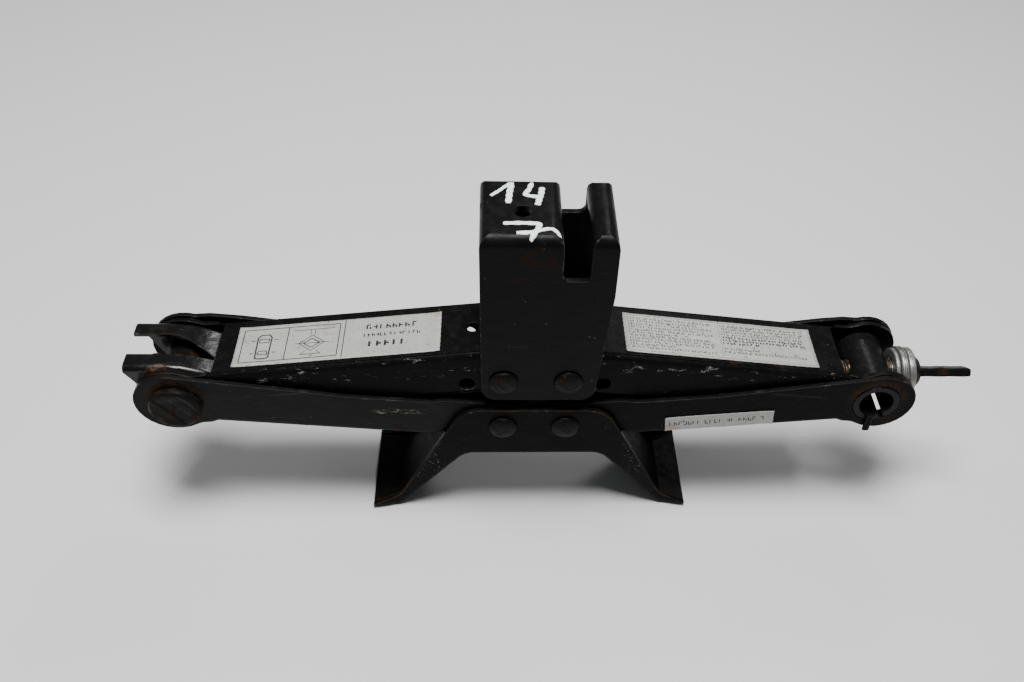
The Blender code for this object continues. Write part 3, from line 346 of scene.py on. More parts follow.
def rusty_steel(name, paint_left=0.5, tone=1.0):
    """Peened steel with black paint left in patches over brown rust."""
    m = Shader(name)
    patches = m.noise(0.16, 5.0, 0.66)
    fine = m.noise(1.1, 5.0, 0.6)
    rust = m.blend(fine, (0.022 * tone, 0.012 * tone, 0.007 * tone),
                   (0.105 * tone, 0.052 * tone, 0.027 * tone))
    orange = m.band(m.noise(0.3, 4.0), 0.60, 0.72)
    rust = m.blend(m.times(orange, 0.6), rust, (0.22 * tone, 0.095 * tone, 0.035 * tone))
    bare = m.band(patches, 0.34 + 0.28 * paint_left, 0.48 + 0.22 * paint_left)
    colour = m.blend(bare, (0.0045, 0.0044, 0.0042), rust)
    m.set(Base_Color=colour, Specular_IOR_Level=0.07)
    m.set(Roughness=m.level(bare, 0.40, 0.72))
    height = m.plus(m.times(fine, 0.35), m.noise(0.35, 3.0))
    m.set(Normal=m.bump(height, 0.45))
    return m.material


def bare_steel(name):
    """Worn bright rings: brushed round, with grey smears and pin-prick rust."""
    m = Shader(name)
    smear = m.noise(0.45, 5.0, 0.7)
    rub = m.noise(1.0, 2.0, 0.5, m.stretched((4.5, 0.35, 0.35)))
    colour = m.blend(smear, (0.09, 0.088, 0.083), (0.44, 0.44, 0.42))
    spots = m.band(m.noise(0.8, 4.0, 0.7), 0.60, 0.70)
    colour = m.blend(m.times(spots, 0.8), colour, (0.11, 0.065, 0.04))
    m.set(Base_Color=colour)
    m.set(Metallic=m.level(spots, 0.75, 0.1))
    m.set(Roughness=m.level(smear, 0.42, 0.26))
    m.set(Normal=m.bump(m.plus(rub, m.times(smear, 0.6)), 0.10))
    return m.material


def greased_thread(name):
    """Dark greased steel whose crests are rubbed to brass brown."""
    m = Shader(name)
    smear = m.noise(0.5, 4.0)
    colour = m.blend(m.band(smear, 0.35, 0.68), (0.014, 0.011, 0.009), (0.13, 0.10, 0.070))
    m.set(Base_Color=colour, Metallic=0.75)
    m.set(Roughness=m.level(smear, 0.28, 0.5))
    m.set(Normal=m.bump(m.noise(1.6, 3.0), 0.06))
    return m.material


def silver_label(name):
    """Silver-white printed foil with speckled dirt and rust creeping in."""
    m = Shader(name)
    blotch = m.noise(0.10, 5.0, 0.62)
    speck = m.noise(1.5, 3.0, 0.6)
    colour = m.blend(blotch, (0.27, 0.271, 0.262), (0.42, 0.421, 0.41))
    colour = m.blend(m.band(speck, 0.56, 0.66, 0.0, 0.6), colour, (0.15, 0.135, 0.11))
    dirt = m.band(m.noise(0.06, 6.0, 0.72), 0.57, 0.66)
    colour = m.blend(m.times(dirt, 0.75), colour, (0.26, 0.22, 0.16))
    hole = m.band(m.noise(0.42, 5.0, 0.7), 0.64, 0.67)
    colour = m.blend(hole, colour, (0.045, 0.028, 0.018))
    m.set(Base_Color=colour, Metallic=0.1)
    m.set(Roughness=m.level(speck, 0.36, 0.55))
    m.set(Normal=m.bump(m.plus(blotch, m.times(hole, -0.8)), 0.12))
    return m.material


def label_ink(name):
    """Black print, rubbed to grey in places."""
    m = Shader(name)
    worn = m.noise(1.8, 3.0, 0.65)
    m.set(Base_Color=m.blend(m.band(worn, 0.66, 0.76), (0.006, 0.006, 0.007), (0.16, 0.16, 0.155)))
    m.set(Roughness=m.level(worn, 0.4, 0.6))
    return m.material


def brushed_white(name):
    """Thick white brush paint with a faint blue cast and streaks."""
    m = Shader(name)
    streak = m.noise(1.0, 3.0, 0.6, m.stretched((0.5, 1.4, 1.4)))
    m.set(Base_Color=m.blend(streak, (0.72, 0.755, 0.79), (0.90, 0.915, 0.925)))
    m.set(Roughness=m.level(streak, 0.32, 0.48))
    m.set(Normal=m.bump(streak, 0.12))
    return m.material


def pale_floor(name):
    """Plain pale studio floor with a faint unevenness of tone."""
    m = Shader(name)
    soft = m.noise(0.006, 3.0)
    fine = m.noise(0.6, 2.0)
    m.set(Base_Color=m.blend(soft, (0.66, 0.66, 0.66), (0.685, 0.685, 0.685)))
    m.set(Roughness=m.level(fine, 0.55, 0.65))
    m.set(Specular_IOR_Level=0.3)
    return m.material


# ---------------------------------------------------------------- surfaces

def wobble(size, seed, *ways):
    """Smooth unevenness: a sum of three sines of the given coordinates with fixed phases."""
    total = 0.0
    for order in (1.0, 2.3, 4.1):
        phase = seed * 1.7 * order
        for i, way in enumerate(ways):
            phase = phase + way * order * (1.0 + 0.37 * i)
        total = total + np.sin(phase + 0.6 * np.sin(2.0 * phase)) / order
    return size * total


def put_mesh(name, points, faces, material, smooth=True):
    """A mesh object from points in millimetres."""
    mesh = bpy.data.meshes.new(name)
    mesh.from_pydata((np.asarray(points, float) * MM).tolist(), [], faces)
    mesh.validate()
    mesh.materials.append(material)
    mesh.polygons.foreach_set("use_smooth", np.full(len(mesh.polygons), smooth))
    item = bpy.data.objects.new(name, mesh)
    bpy.context.scene.collection.objects.link(item)
    return item


def grid_faces(rows, columns, round_columns=False):
    """Quads between neighbouring rows and columns of a grid of points."""
    last = columns if round_columns else columns - 1
    row, column = np.meshgrid(np.arange(rows - 1), np.arange(last), indexing="ij")
    after = (column + 1) % columns
    quads = np.stack([row * columns + column, row * columns + after,
                      (row + 1) * columns + after, (row + 1) * columns + column], axis=-1)
    return quads.reshape(-1, 4).tolist()


def tube(name, rings, material):
    """Rings of points (n, m, 3) joined in order and closed at both ends by a fan to a centre."""
    rings = np.asarray(rings, float)
    count, around = rings.shape[:2]
    points = np.concatenate([rings.reshape(-1, 3), rings[0].mean(0)[None], rings[-1].mean(0)[None]])
    faces = grid_faces(count, around, True)
    first, last = count * around, count * around + 1
    step = np.arange(around)
    after = (step + 1) % around
    base = (count - 1) * around
    faces += np.stack([after, step, np.full(around, first)], axis=-1).tolist()
    faces += np.stack([base + step, base + after, np.full(around, last)], axis=-1).tolist()
    return put_mesh(name, points, faces, material)


def turned(name, profile, axis, place, material, around=72, dent=0.0, seed=0.0, refine=5):
    """A lathe shape over (step along the profile, angle).

    Each profile point (distance along the axis, radius) is swept round the axis.
    The profile is split finely between its corners; dents move the skin along
    the axis and outwards by a smooth unevenness.
    """
    profile = np.asarray(profile, float)
    share = np.linspace(0.0, 1.0, refine, endpoint=False)[None, :, None]
    fine = (profile[:-1, None] * (1.0 - share) + profile[1:, None] * share).reshape(-1, 2)
    fine = np.concatenate([fine, profile[-1:]])
    angle = np.linspace(0.0, 2.0 * np.pi, around, endpoint=False)
    along, radius = fine[:, :1], fine[:, 1:]
    push = wobble(dent, seed, radius * np.cos(angle) * 0.35, radius * np.sin(angle) * 0.35)
    radius = radius + 0.6 * push * (radius > 0.1)
    along = along + push
    first, second = radius * np.cos(angle), radius * np.sin(angle)
    order = {"X": (along, first, second), "Y": (second, along, first)}[axis]
    rings = np.stack(np.broadcast_arrays(*order), axis=-1) + np.asarray(place, float)
    item = tube(name, rings, material)
    face_outwards(item)
    return item


def face_outwards(item):
    """Joins doubled points and turns every face of a closed mesh outwards."""
    shape = bmesh.new()
    shape.from_mesh(item.data)
    bmesh.ops.remove_doubles(shape, verts=shape.verts, dist=1e-7)
    bmesh.ops.recalc_face_normals(shape, faces=shape.faces)
    shape.to_mesh(item.data)
    shape.free()


def face_towards(item, up):
    """Flips a sheet whose faces point away from up."""
    if Vector(up).dot(item.data.polygons[0].normal) < 0:
        item.data.flip_normals()


def mount(item, body, part):
    """Let a piece ride a body in place of a CAD node."""
    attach(item, body)
    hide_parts(part)


def corner(centre, radius, start, end, steps=6):
    """Profile points on a quarter or part of a circle, angles in degrees."""
    angle = np.radians(np.linspace(start, end, steps))
    return [(centre[0] + radius * math.cos(a), centre[1] + radius * math.sin(a)) for a in angle]


# ---------------------------------------------------------------- CAD parts

WELD_REACH = 2e-6


def soften(name, materials, width=0.45, steps=3, angle=30.0):
    """Rounds a CAD part's sharp edges; the new faces take the last material."""
    item = NODES[name]
    item.data.materials.clear()
    for material in materials:
        item.data.materials.append(material)
    item.data.polygons.foreach_set("use_smooth", np.ones(len(item.data.polygons), bool))
    weld = item.modifiers.new("weld", "WELD")
    weld.merge_threshold = WELD_REACH
    flat = item.modifiers.new("flat", "DECIMATE")
    flat.decimate_type = "DISSOLVE"
    flat.angle_limit = math.radians(0.5)
    edge = item.modifiers.new("edge", "BEVEL")
    edge.width = width * MM
    edge.segments = steps
    edge.limit_method = "ANGLE"
    edge.angle_limit = math.radians(angle)
    edge.use_clamp_overlap = False
    edge.material = len(materials) - 1
    even = item.modifiers.new("even", "WEIGHTED_NORMAL")
    even.weight = 90


def paint_pressings():
    """Paint for each pressed CAD part, with its edge finish last."""
    edge = worn_edge("rubbed_edge")
    brown_edge = worn_edge("browned_edge", 0.75, 0.48)
    upper = black_paint("upper_arm_paint", 0.4, 0.6, 0.32, extra=bend_scuffs)
    base = black_paint("base_paint", 0.45, 0.7, 0.36, 0.9, base_specks)
    head = black_paint("head_paint", 0.6, 0.4, 0.30, shine=0.06)
    bracket = black_paint("bracket_paint", 0.2, 0.1, 0.19, extra=horn_rust, shine=0.30)
    trunnion = black_paint("trunnion_paint", 0.3, 1.3, 0.30, 1.3, shine=0.10)
    tab = black_paint("tab_paint", 0.8, 0.4)
    left_arm = black_paint("left_arm_paint", 0.5, 0.6, 0.36, 1.3, left_arm_marks, 0.07)
    right_arm = black_paint("right_arm_paint", 0.6, 0.5, 0.36, 1.0, right_arm_marks)
    coats = {"base_bracket": base, "head_bracket": head, "nut_bracket": bracket,
             "bearing_trunnion": trunnion, "trunnion_tab": tab,
             "lower_arm_left": left_arm, "lower_arm_right": right_arm,
             "upper_arm_left": upper, "upper_arm_right": upper}
    for part, coat in coats.items():
        soften(part, [coat, brown_edge if part == "base_bracket" else edge])


# ---------------------------------------------------------------- rivets and pins

SHANK_END_GAP = 0.4
RIVET_SHANK_SHARE = 0.69
RIVET_HEIGHT = 2.6
PIN_HEAD_HEIGHT = 4.4
PIN_SHANK_SHARE = 0.8


def rivet_dome(radius, height, start, direction):
    """Peened head: its height falls from the middle as (1 - share ** 2.6) ** 0.55, to a tight rim."""
    dome = [(start + direction * height * (0.16 + 0.84 * (1.0 - s ** 2.6) ** 0.55), radius * s)
            for s in np.linspace(0.02, 1.0, 14)]
    return dome + [(start + direction * height * 0.06, radius * 0.985), (start, radius * 0.96)]


def make_rivets():
    """The four rivets' front heads with their shanks, and their rear heads."""
    finish = rusty_steel("rivet_rust", 0.78, 0.30)
    for seed, part in enumerate([n for n in NODES if "rivet" in n], 1):
        low, high = corners_of(part)
        middle = middle_of(part)
        radius = (high[0] - low[0]) / 2.0
        if part.endswith("rear"):
            profile = rivet_dome(radius, high[1] - low[1], low[1], 1.0)
        else:
            seat = low[1] + RIVET_HEIGHT
            shank = radius * RIVET_SHANK_SHARE
            profile = rivet_dome(radius, RIVET_HEIGHT, seat, -1.0)
            profile += [(seat, shank), (high[1] - SHANK_END_GAP, shank)]
        item = turned(part + "_peened", profile, "Y", (middle[0], 0.0, middle[2]), finish,
                      56, 0.10, float(seed), 2)
        mount(item, "base" if part.startswith("base") else "head", part)


# depth behind the pin head's highest ring, and share of the head's radius
PIN_HEAD = ((0.55, None), (0.5, 0.30), (0.42, 0.58), (0.12, 0.74), (0.0, 0.84), (0.25, 0.92),
            (1.1, 0.985), (2.4, 1.0), (3.6, 0.985))
PIN_HEAD_TIP = 0.02


def make_nut_pin():
    """The left pin's dished, peened heads and its shank, which the screw runs through."""
    rust = rusty_steel("pin_rust", 0.5, 0.22)
    for part, direction in (("nut_pin", -1.0), ("nut_pin_rear_head", 1.0)):
        low, high = corners_of(part)
        middle = middle_of(part)
        radius = (high[2] - low[2]) / 2.0
        face = low[1] if direction < 0 else high[1]
        seat = face - direction * PIN_HEAD_HEIGHT
        profile = [(face - direction * deep, PIN_HEAD_TIP if share is None else radius * share)
                   for deep, share in PIN_HEAD]
        profile.append((seat, radius * 0.93))
        if direction < 0:
            profile += [(seat, radius * PIN_SHANK_SHARE), (high[1], radius * PIN_SHANK_SHARE)]
        item = turned(part + "_worn", profile, "Y", (middle[0], 0.0, middle[2]), rust, 96, 0.16,
                      2.0 + direction, 4)
        mount(item, "nut", part)


# ---------------------------------------------------------------- screw

THREAD_RADIUS = 6.2
THREAD_PITCH = 3.0
THREAD_DEPTH = 1.25
THREAD_STEPS = 8
THREAD_SIDES = 36
THREAD_RUN_OUT = 14.0
COLLAR_COVER = 0.3
TONGUE_HALF_WIDTH = 5.4
TONGUE_HALF_THICKNESS = 2.3
TONGUE_TILT = math.radians(-38.0)
TONGUE_SQUARENESS = 0.28
TONGUE_NOSE = ((1.2, 1.0), (0.5, 0.95), (0.1, 0.86), (0.0, 0.74))


def make_thread():
    """Screw thread over (distance along, angle).

    The radius falls by the thread depth in a flat-bottomed groove that winds one
    pitch along for each turn; the groove fades out at both ends.
    """
    low, high = corners_of("screw")
    collar_low, collar_high = corners_of("screw_collar")
    axis_z = (low[2] + high[2]) / 2.0
    along = np.arange(low[0], collar_high[0] - COLLAR_COVER, THREAD_PITCH / THREAD_STEPS)[:, None]
    angle = np.linspace(0.0, 2.0 * np.pi, THREAD_SIDES, endpoint=False)[None, :]
    turn = np.mod(along / THREAD_PITCH - angle / (2.0 * np.pi), 1.0)
    groove = np.clip(4.2 * (0.5 - np.abs(turn - 0.5)) - 0.7, 0.0, 1.0)
    run_in = np.clip((along - low[0] - 1.0) / 4.0, 0.0, 1.0)
    run_out = np.clip((collar_low[0] - THREAD_RUN_OUT - along) / 4.0, 0.0, 1.0)
    around = THREAD_RADIUS - THREAD_DEPTH * groove * run_in * run_out
    points = (along, around * np.cos(angle), axis_z + around * np.sin(angle))
    thread = tube("screw_thread", np.stack(np.broadcast_arrays(*points), axis=-1),
                  greased_thread("thread_grease"))
    face_outwards(thread)
    mount(thread, "screw", "screw")


def make_tongue():
    """Drive tongue over (distance along, angle): a rounded rectangle carried along the axis.

    Each half width is the sine or cosine of the angle raised to a small power, so the
    corners stay soft; it is turned about the axis, slightly bruised, and its nose tapers.
    """
    low, high = corners_of("screw")
    collar_low, collar_high = corners_of("screw_collar")
    axis_z = (low[2] + high[2]) / 2.0
    side = np.linspace(0.0, 2.0 * np.pi, 64, endpoint=False)
    across, upward = np.cos(side), np.sin(side)
    wide = TONGUE_HALF_WIDTH * np.sign(across) * np.abs(across) ** TONGUE_SQUARENESS
    thick = TONGUE_HALF_THICKNESS * np.sign(upward) * np.abs(upward) ** TONGUE_SQUARENESS
    nose_x = [high[0] - back for back, size in TONGUE_NOSE]
    along = np.concatenate([np.linspace(collar_low[0], nose_x[0], 24), nose_x[1:]])[:, None]
    size = np.concatenate([np.ones(24), [size for back, size in TONGUE_NOSE[1:]]])[:, None]
    bruise = wobble(0.07, 3.0, along * 0.5, side[None, :] * 2.0)
    w = wide * (1.0 - (1.0 - size) * 0.35) + bruise * across
    t = thick * (1.0 - (1.0 - size) * 1.1) + bruise * upward
    y = w * math.cos(TONGUE_TILT) - t * math.sin(TONGUE_TILT)
    z = w * math.sin(TONGUE_TILT) + t * math.cos(TONGUE_TILT)
    tongue = tube("drive_tongue", np.stack(np.broadcast_arrays(along, y, axis_z + z), axis=-1),
                  rusty_steel("tongue_steel", 0.7, 0.25))
    face_outwards(tongue)
    mount(tongue, "screw", "screw")


RING_BORE = 6.7
BEARING_EDGE = 1.2
BEARING_GROOVE = 0.75
WASHER_EDGE = 0.8


def rounded_rim(first, last, radius, edge, between=()):
    """Rim profile with both edges rounded, and what lies between them."""
    start = corner((first + edge, radius - edge), edge, 180, 90)
    end = corner((last - edge, radius - edge), edge, 90, 0)
    return start + list(between) + end


def ring_rim(part, first, last, radius):
    """Rim of one ring: grooved for the bearing, coned for the collar, else plain and rounded."""
    if part == "thrust_bearing":
        half, floor = (first + last) / 2.0, radius - BEARING_GROOVE
        groove = [(half - 0.7, radius), (half - 0.35, floor), (half + 0.35, floor), (half + 0.7, radius)]
        return rounded_rim(first, last, radius, BEARING_EDGE, groove)
    if part == "screw_collar":
        return [(first, radius - 0.4), (first + 0.4, radius), (first + 1.2, radius),
                (first + 1.9, radius - 0.35), (last - 0.8, 7.5), (last, 7.1)]
    return rounded_rim(first, last, radius, min(WASHER_EDGE, (last - first) / 3.0))


def make_rings():
    """The thrust rings and the cone collar, turned from their rims' profiles."""
    bright = bare_steel("bright_ring")
    brown = rusty_steel("collar_rust", 0.45, 0.35)
    for part in ("thrust_washer_inner", "thrust_bearing", "thrust_washer_outer", "screw_collar"):
        low, high = corners_of(part)
        middle = middle_of(part)
        rim = ring_rim(part, low[0], high[0], (high[2] - low[2]) / 2.0)
        profile = [(low[0], RING_BORE)] + rim + [(high[0], RING_BORE), (low[0], RING_BORE)]
        collar = part == "screw_collar"
        item = turned(part + "_turned", profile, "X", (0.0, middle[1], middle[2]),
                      brown if collar else bright, 96, 0.035, 5.0, 3)
        mount(item, "bearing" if part == "thrust_washer_inner" else "screw", part)


# ---------------------------------------------------------------- brush strokes

# each stroke: its bent line on the head's top, from the head's middle, and its half width
STROKES = (
    (((-22.4, 7.6), (-18.6, 11.4), (-15.9, 14.7), (-13.2, 17.6)), 0.85),
    (((-13.0, 18.0), (-13.3, 14.0), (-13.8, 10.9), (-14.6, 1.9)), 1.35),
    (((-3.6, 18.0), (-5.2, 12.4), (-7.2, 9.3), (-5.6, 8.0), (-1.2, 7.2), (1.2, 7.4)), 1.1),
    (((0.9, 14.6), (0.3, 9.7), (-1.7, 0.8)), 1.3),
    (((-17.2, -12.1), (-9.0, -11.7), (-0.8, -12.0), (-1.6, -14.8), (-3.2, -18.3), (-5.3, -21.9)), 1.15),
    (((-11.4, -18.3), (-6.8, -18.2), (-2.8, -17.5), (2.2, -15.6), (4.6, -15.6), (6.6, -17.2),
      (7.9, -19.8)), 1.0),
)
PATH_POINTS = 90
BRUSH_POINTS = 15
PAINT_HEIGHT = 0.30
BRISTLE_HEIGHT = 0.06
PAINT_SINK = 0.03


def on_head_top(x, y, lift):
    """Points lifted off the head's top, which is flat and rolls down at its edges in an arc."""
    low, high = corners_of("head_bracket")
    left, right = low[0] + HEAD_ROLL, HEAD_MIDDLE + SLOT_LEFT - HEAD_ROLL
    side = np.maximum(0.0, np.maximum(left - x, x - right))
    ahead = np.maximum(0.0, low[1] + HEAD_ROLL - y)
    fall = np.sqrt(np.maximum(0.3, HEAD_ROLL ** 2 - side ** 2 - ahead ** 2))
    direction = np.stack([np.where(x < left, -side, side), -ahead, fall], axis=-1) / HEAD_ROLL
    flat = np.stack([x, y, high[2] - HEAD_ROLL + fall], axis=-1)
    return flat + direction * lift[..., None]


def smooth_path(line):
    """A bent line as evenly spaced points whose corners are evened out, and their distances."""
    step = np.concatenate([[0.0], np.cumsum(np.hypot(*np.diff(line, axis=0).T))])
    t = np.linspace(0.0, step[-1], PATH_POINTS)
    path = np.stack([np.interp(t, step, line[:, i]) for i in (0, 1)], axis=-1)
    padded = np.concatenate([np.repeat(path[:1], 4, 0), path, np.repeat(path[-1:], 4, 0)])
    soft = np.ones(9) / 9.0
    return np.stack([np.convolve(padded[:, i], soft, "valid") for i in (0, 1)], axis=-1), t / step[-1]


def make_strokes():
    """Hand-painted digits over (distance along the stroke, place across the brush).

    A flat brush is carried along a bent line. Across it the paint stands up as a
    low arch with bristle ridges, and it lies on the head's rolled top.
    """
    white = brushed_white("brush_white")
    across = np.linspace(-1.0, 1.0, BRUSH_POINTS)
    arch = np.sqrt(np.maximum(0.0, 1.0 - across ** 2))
    for number, (line, wide) in enumerate(STROKES):
        path, share = smooth_path(np.asarray(line, float) + np.array([HEAD_MIDDLE, 0.0]))
        heading = np.gradient(path, axis=0)
        heading /= np.linalg.norm(heading, axis=1, keepdims=True)
        aside = np.stack([-heading[:, 1], heading[:, 0]], axis=-1)
        swell = 0.55 + 0.45 * np.clip(share / 0.10, 0, 1) ** 0.5
        half = wide * swell * np.clip((1.02 - share) / 0.10, 0.3, 1) ** 0.5
        half = half + wobble(0.09 * wide, number, share * 30.0)
        spread = path[:, None] + aside[:, None] * (half[:, None] * across)[..., None]
        bristle = BRISTLE_HEIGHT * np.sin(across * 21.0 + number)[None, :] * arch
        lift = PAINT_HEIGHT * arch[None, :] * np.clip(share / 0.05, 0.2, 1)[:, None] + bristle - PAINT_SINK
        points = on_head_top(spread[..., 0], spread[..., 1], lift)
        item = put_mesh(f"brush_stroke_{number + 1}", points.reshape(-1, 3),
                        grid_faces(PATH_POINTS, BRUSH_POINTS), white)
        give_thickness(item, 0.12)
        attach(item, "head")


def give_thickness(item, thickness):
    """Thickens a sheet away from its outward face."""
    solid = item.modifiers.new("body", "SOLIDIFY")
    solid.thickness = thickness * MM
    solid.offset = -1.0


# ---------------------------------------------------------------- printed plates

PLATE_ROWS = 97
PLATE_COLUMNS = 29
PLATE_THICKNESS = 0.35
INK_LIFT = 0.05
INK_PIECE = 1.5


def plate_corners(part, on_top):
    """A thin CAD plate's outward face in mm: its starting corner, then the ways along and across."""
    mesh = NODES[part].data
    points = np.empty(len(mesh.vertices) * 3)
    mesh.vertices.foreach_get("co", points)
    points = np.unique(np.round(points.reshape(-1, 3) / MM, 3), axis=0)
    if on_top:
        front, rear = (points[points[:, 1] * side > 0] for side in (-1.0, 1.0))
        front, rear = front[np.argsort(front[:, 0])], rear[np.argsort(rear[:, 0])]
        start, end, far = (pair[np.argmax(pair[:, 2])] for pair in (front[:2], front[2:], rear[:2]))
    else:
        face = points[points[:, 1] < points[:, 1].mean()]
        ordered = face[np.argsort(face[:, 0])]
        near, beyond = ordered[:2], ordered[2:]
        start, far = near[np.argsort(near[:, 2])]
        end = beyond[np.argmin(beyond[:, 2])]
    return start, end - start, far - start


class Plate:
    """A thin foil plate over (mm along, mm across): a flat sheet that waves gently
    by a sum of sines and curls up at its corners by a bell curve of their distance."""

    def __init__(self, part, body, on_top, seed, curl):
        self.start, along, across = plate_corners(part, on_top)
        self.length, self.width = np.linalg.norm(along), np.linalg.norm(across)
        self.along, self.across = along / self.length, across / self.width
        self.up = np.cross(self.along, self.across)
        if (on_top and self.up[2] < 0) or (not on_top and self.up[1] > 0):
            self.up = -self.up
        self.body, self.seed, self.curl = body, seed, curl
        u, v = np.meshgrid(np.linspace(0, self.length, PLATE_ROWS),
                           np.linspace(0, self.width, PLATE_COLUMNS), indexing="ij")
        ragged_side = 0.09 * np.sin(u * 2.1 + seed) * np.sin(u * 0.73) * ((v == 0) | (v == self.width))
        ragged_end = 0.09 * np.sin(v * 1.9 + seed) * ((u == 0) | (u == self.length))
        points = self.face(u + ragged_end, v + ragged_side).reshape(-1, 3)
        item = put_mesh(part + "_foil", points, grid_faces(PLATE_ROWS, PLATE_COLUMNS), FOIL)
        face_towards(item, self.up)
        give_thickness(item, PLATE_THICKNESS)
        mount(item, body, part)

    def face(self, u, v, lift=0.0):
        """Points on the plate's face, or lifted off it."""
        wave = wobble(0.035, self.seed, u * 0.11, v * 0.25)
        edge_u = np.minimum(u, self.length - u)
        edge_v = np.minimum(v, self.width - v)
        height = wave + self.curl * np.exp(-(edge_u ** 2 + edge_v ** 2) / 9.0) + lift
        flat = self.start + u[..., None] * self.along + v[..., None] * self.across
        return flat + height[..., None] * self.up

    def ink(self, name, bars):
        """Printed bars: each (u0, v0, u1, v1, thickness) is cut into short flat pieces."""
        bars = np.asarray(bars, float)
        lengths = np.hypot(*(bars[:, 2:4] - bars[:, 0:2]).T)
        pieces = np.maximum(np.ceil(lengths / INK_PIECE).astype(int), 1)
        bar = np.repeat(np.arange(len(bars)), pieces)
        piece = np.arange(len(bar)) - np.repeat(np.cumsum(pieces) - pieces, pieces)
        start, run, half = bars[bar, 0:2], bars[bar, 2:4] - bars[bar, 0:2], bars[bar, 4:5] / 2.0
        share = (piece / pieces[bar])[:, None]
        first, second = start + run * share, start + run * (share + 1.0 / pieces[bar][:, None])
        way = second - first
        way /= np.maximum(np.linalg.norm(way, axis=1, keepdims=True), 1e-9)
        aside = np.stack([-way[:, 1], way[:, 0]], axis=-1) * half
        quads = np.stack([first - aside, second - aside, second + aside, first + aside], axis=1)
        flat = quads.reshape(-1, 2)
        faces = np.arange(len(flat)).reshape(-1, 4).tolist()
        item = put_mesh(name, self.face(flat[:, 0], flat[:, 1], INK_LIFT), faces, INK, False)
        face_towards(item, self.up)
        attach(item, self.body)


def words(dice, u0, u1, v, tall, thick, gap=0.5, ends=1.0):
    """One line of make-believe print: short upright and level strokes in word groups."""
    bars = []
    u = u0
    stop = u0 + (u1 - u0) * ends
    while u < stop - tall:
        for _ in range(int(dice.integers(2, 8))):
            if u > stop - tall:
                break
            wide = tall * 0.55
            low, high = v - tall / 2.0, v + tall / 2.0
            kind = dice.integers(0, 4)
            if kind != 1:
                bars.append((u, low, u, high, thick))
            if kind != 2:
                level = (low, v, high)[int(dice.integers(0, 3))]
                bars.append((u, level, u + wide, level, thick))
            if kind in (0, 1):
                bars.append((u + wide, low, u + wide, high if kind else v, thick))
            u += wide + thick + tall * 0.22
        u += tall * gap
    return bars


def loop_lines(points, thick):
    """Closed outline through points as bars."""
    return [(*points[i], *points[(i + 1) % len(points)], thick) for i in range(len(points))]


def box_lines(u0, v0, u1, v1, thick):
    """Outline of a box as bars."""
    return loop_lines([(u0, v0), (u1, v0), (u1, v1), (u0, v1)], thick)


def diamond(middle_u, middle_v, reach_u, reach_v, thick):
    """Outline of a diamond as bars."""
    return loop_lines([(middle_u - reach_u, middle_v), (middle_u, middle_v + reach_v),
                       (middle_u + reach_u, middle_v), (middle_u, middle_v - reach_v)], thick)


FINE_LINE = 0.46


def car_sign():
    """A plain car seen from above, with two windows and a tick beside each jacking point."""
    body = [(10.6, 5.0), (12.0, 4.3), (15.6, 4.3), (17.0, 5.0), (17.2, 18.6), (15.8, 20.6),
            (11.8, 20.6), (10.4, 18.6)]
    bars = loop_lines(body, 0.7)
    bars += loop_lines([(11.4, 7.2), (16.2, 7.2), (15.7, 9.4), (11.9, 9.4)], FINE_LINE)
    bars += loop_lines([(11.6, 15.2), (16.0, 15.2), (16.3, 17.6), (11.3, 17.6)], FINE_LINE)
    return bars + [(x, y, x + 1.9, y, FINE_LINE) for x in (7.4, 18.4) for y in (8.2, 16.8)]


def jack_sign():
    """A plain jack seen from the front: two diamonds, its screw, a foot and a sill above."""
    bars = diamond(37.4, 12.6, 6.2, 5.4, 0.35) + diamond(37.4, 12.6, 4.0, 3.2, FINE_LINE)
    bars.append((29.0, 12.6, 46.0, 12.6, 0.3))
    bars += [(u, 18.0, u, 22.0, 0.3) for u in (36.4, 38.4)]
    bars += [(28.0, 22.0, 48.0, 22.0, 0.3), (32.4, 5.0, 42.4, 5.0, 0.4)]
    return bars + [(32.4, 5.0, 35.0, 7.4, 0.3), (42.4, 5.0, 39.8, 7.4, 0.3)]


def rating_print(plate, dice):
    """Two signs in a box on the left, and three lines of make-believe print on the right."""
    width = plate.width
    bars = box_lines(3.0, 2.5, 50.5, width - 2.5, FINE_LINE)
    bars += [(25.0, 2.5, 25.0, width - 2.5, FINE_LINE), (53.0, 0.5, 53.0, width - 0.5, FINE_LINE)]
    bars += car_sign() + jack_sign()
    bars += words(dice, 64.0, 90.0, 20.4, 3.0, 0.80, 0.15)
    bars += words(dice, 63.0, 92.0, 14.8, 1.9, 0.55, 0.5)
    bars += words(dice, 66.0, 87.0, 8.6, 3.5, 1.15, 0.1)
    plate.ink("rating_print", bars)


def notes_print(plate, dice):
    """A border and two columns of make-believe print, with three bold lines on the right."""
    length, width, middle = plate.length, plate.width, plate.length * 0.5
    bars = box_lines(1.2, 1.2, length - 1.2, width - 1.2, 0.16)
    bars.append((middle, 1.6, middle, width - 1.6, 0.16))
    for row in range(11):
        v = width - 3.2 - row * (width - 6.0) / 10.4
        ends = 0.35 + 0.6 * dice.random() if row in (1, 3, 5, 9) else 0.97
        bars += words(dice, 2.6, middle - 1.0, v, 1.3, 0.36, 0.55, ends)
        if row not in (7, 10):
            thick = 0.62 if row in (4, 5, 6) else 0.36
            ends = 0.45 if row in (6, 8) else 0.97
            bars += words(dice, middle + 1.4, length - 2.4, v, 1.3, thick, 0.5, ends)
    plate.ink("notes_print", bars)


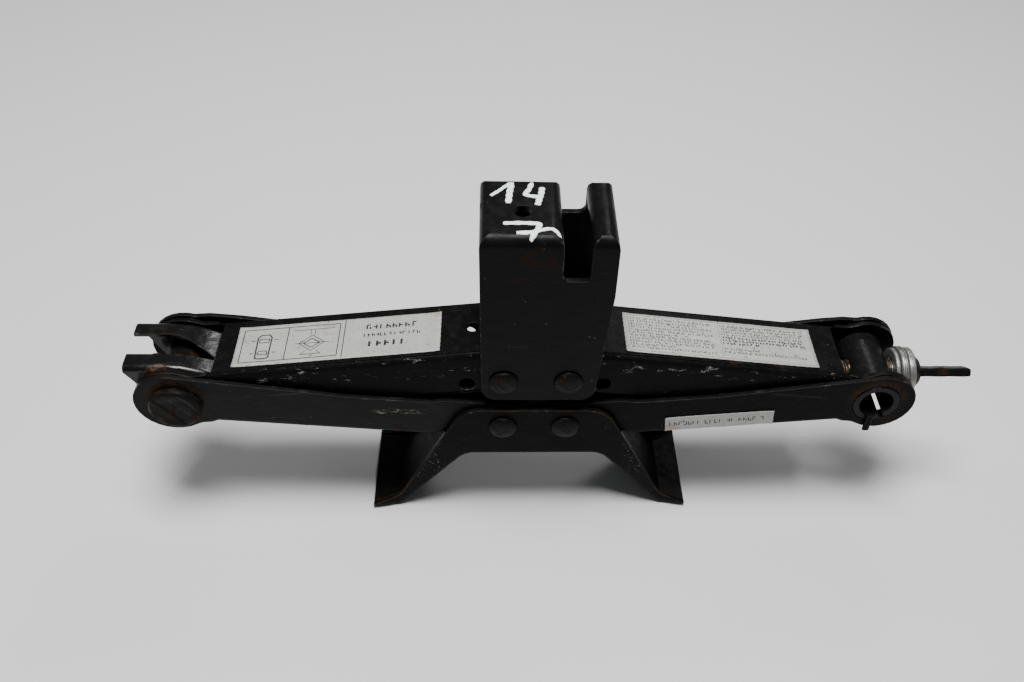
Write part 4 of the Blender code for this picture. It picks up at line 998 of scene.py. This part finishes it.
def make_plates():
    """The three foil plates and their print."""
    dice = np.random.default_rng(11)
    rating_print(Plate("rating_plate", "upper_left", True, 1.0, 0.35), dice)
    notes_print(Plate("notes_plate", "upper_right", True, 2.0, 0.3), dice)
    model = Plate("model_plate", "lower_right", False, 3.0, 0.25)
    model.ink("model_print", words(dice, 2.4, model.length - 2.0, model.width * 0.5, 2.4, 0.55, 0.6))


# ---------------------------------------------------------------- stage

# camera: place in millimetres, angles in degrees, lens in millimetres on a 36 mm sensor
CAMERA_PLACE = (-37.37, -361.93, 457.32)
CAMERA_PITCH = 44.05
CAMERA_TURN = 5.88
CAMERA_ROLL = 4.34
LENS = 35.83
SENSOR = 36.0
CAMERA_SHIFT = (-0.0539, -0.0049)

# studio light: name, place in metres, size in metres, power in watts
WORLD_LIGHT = 0.13
WORLD_TINT = (0.95, 0.97, 1.0, 1.0)
LAMP_TARGET = (0.0, 0.0, 0.1)
LAMPS = (("overhead", (-0.05, -0.10, 1.35), 0.5, 32.0), ("window", (0.35, 0.9, 1.0), 0.25, 3.0),
         ("side", (-0.95, 0.25, 0.75), 0.25, 1.2))


def make_stage():
    """Pale floor, dim even surroundings and three soft lamps."""
    bpy.ops.mesh.primitive_plane_add(size=6.0, location=(0.0, 0.6, 0.0))
    floor = bpy.context.object
    floor.name = "floor"
    floor.data.materials.append(pale_floor("floor_paint"))
    world = bpy.data.worlds.new("studio")
    bpy.context.scene.world = world
    world.use_nodes = True
    world.node_tree.nodes["Background"].inputs["Color"].default_value = WORLD_TINT
    world.node_tree.nodes["Background"].inputs["Strength"].default_value = WORLD_LIGHT
    for name, place, size, power in LAMPS:
        data = bpy.data.lights.new(name, "AREA")
        data.size = size
        data.energy = power
        lamp = bpy.data.objects.new(name, data)
        lamp.location = place
        lamp.rotation_mode = "QUATERNION"
        lamp.rotation_quaternion = (Vector(place) - Vector(LAMP_TARGET)).to_track_quat("Z", "Y")
        bpy.context.scene.collection.objects.link(lamp)


def make_camera():
    """The scene's camera, looking down at the jack's front."""
    data = bpy.data.cameras.new("camera")
    data.sensor_width = SENSOR
    data.lens = LENS
    data.shift_x, data.shift_y = CAMERA_SHIFT
    data.clip_start = 0.01
    camera = bpy.data.objects.new("camera", data)
    turn = Matrix.Rotation(math.radians(-CAMERA_TURN), 4, "Z")
    tilt = Matrix.Rotation(math.radians(90.0 - CAMERA_PITCH), 4, "X")
    roll = Matrix.Rotation(math.radians(CAMERA_ROLL), 4, "Z")
    place = Matrix.Translation([c * MM for c in CAMERA_PLACE])
    camera.matrix_world = place @ turn @ tilt @ roll
    bpy.context.scene.collection.objects.link(camera)
    bpy.context.scene.camera = camera


FOIL = silver_label("foil")
INK = label_ink("label_ink")
paint_pressings()
make_rivets()
make_nut_pin()
make_thread()
make_tongue()
make_rings()
soften("screw_end_stop", [rusty_steel("stop_rust", 0.5, 0.6)], 0.3, 2)
make_strokes()
make_plates()
make_stage()
make_camera()
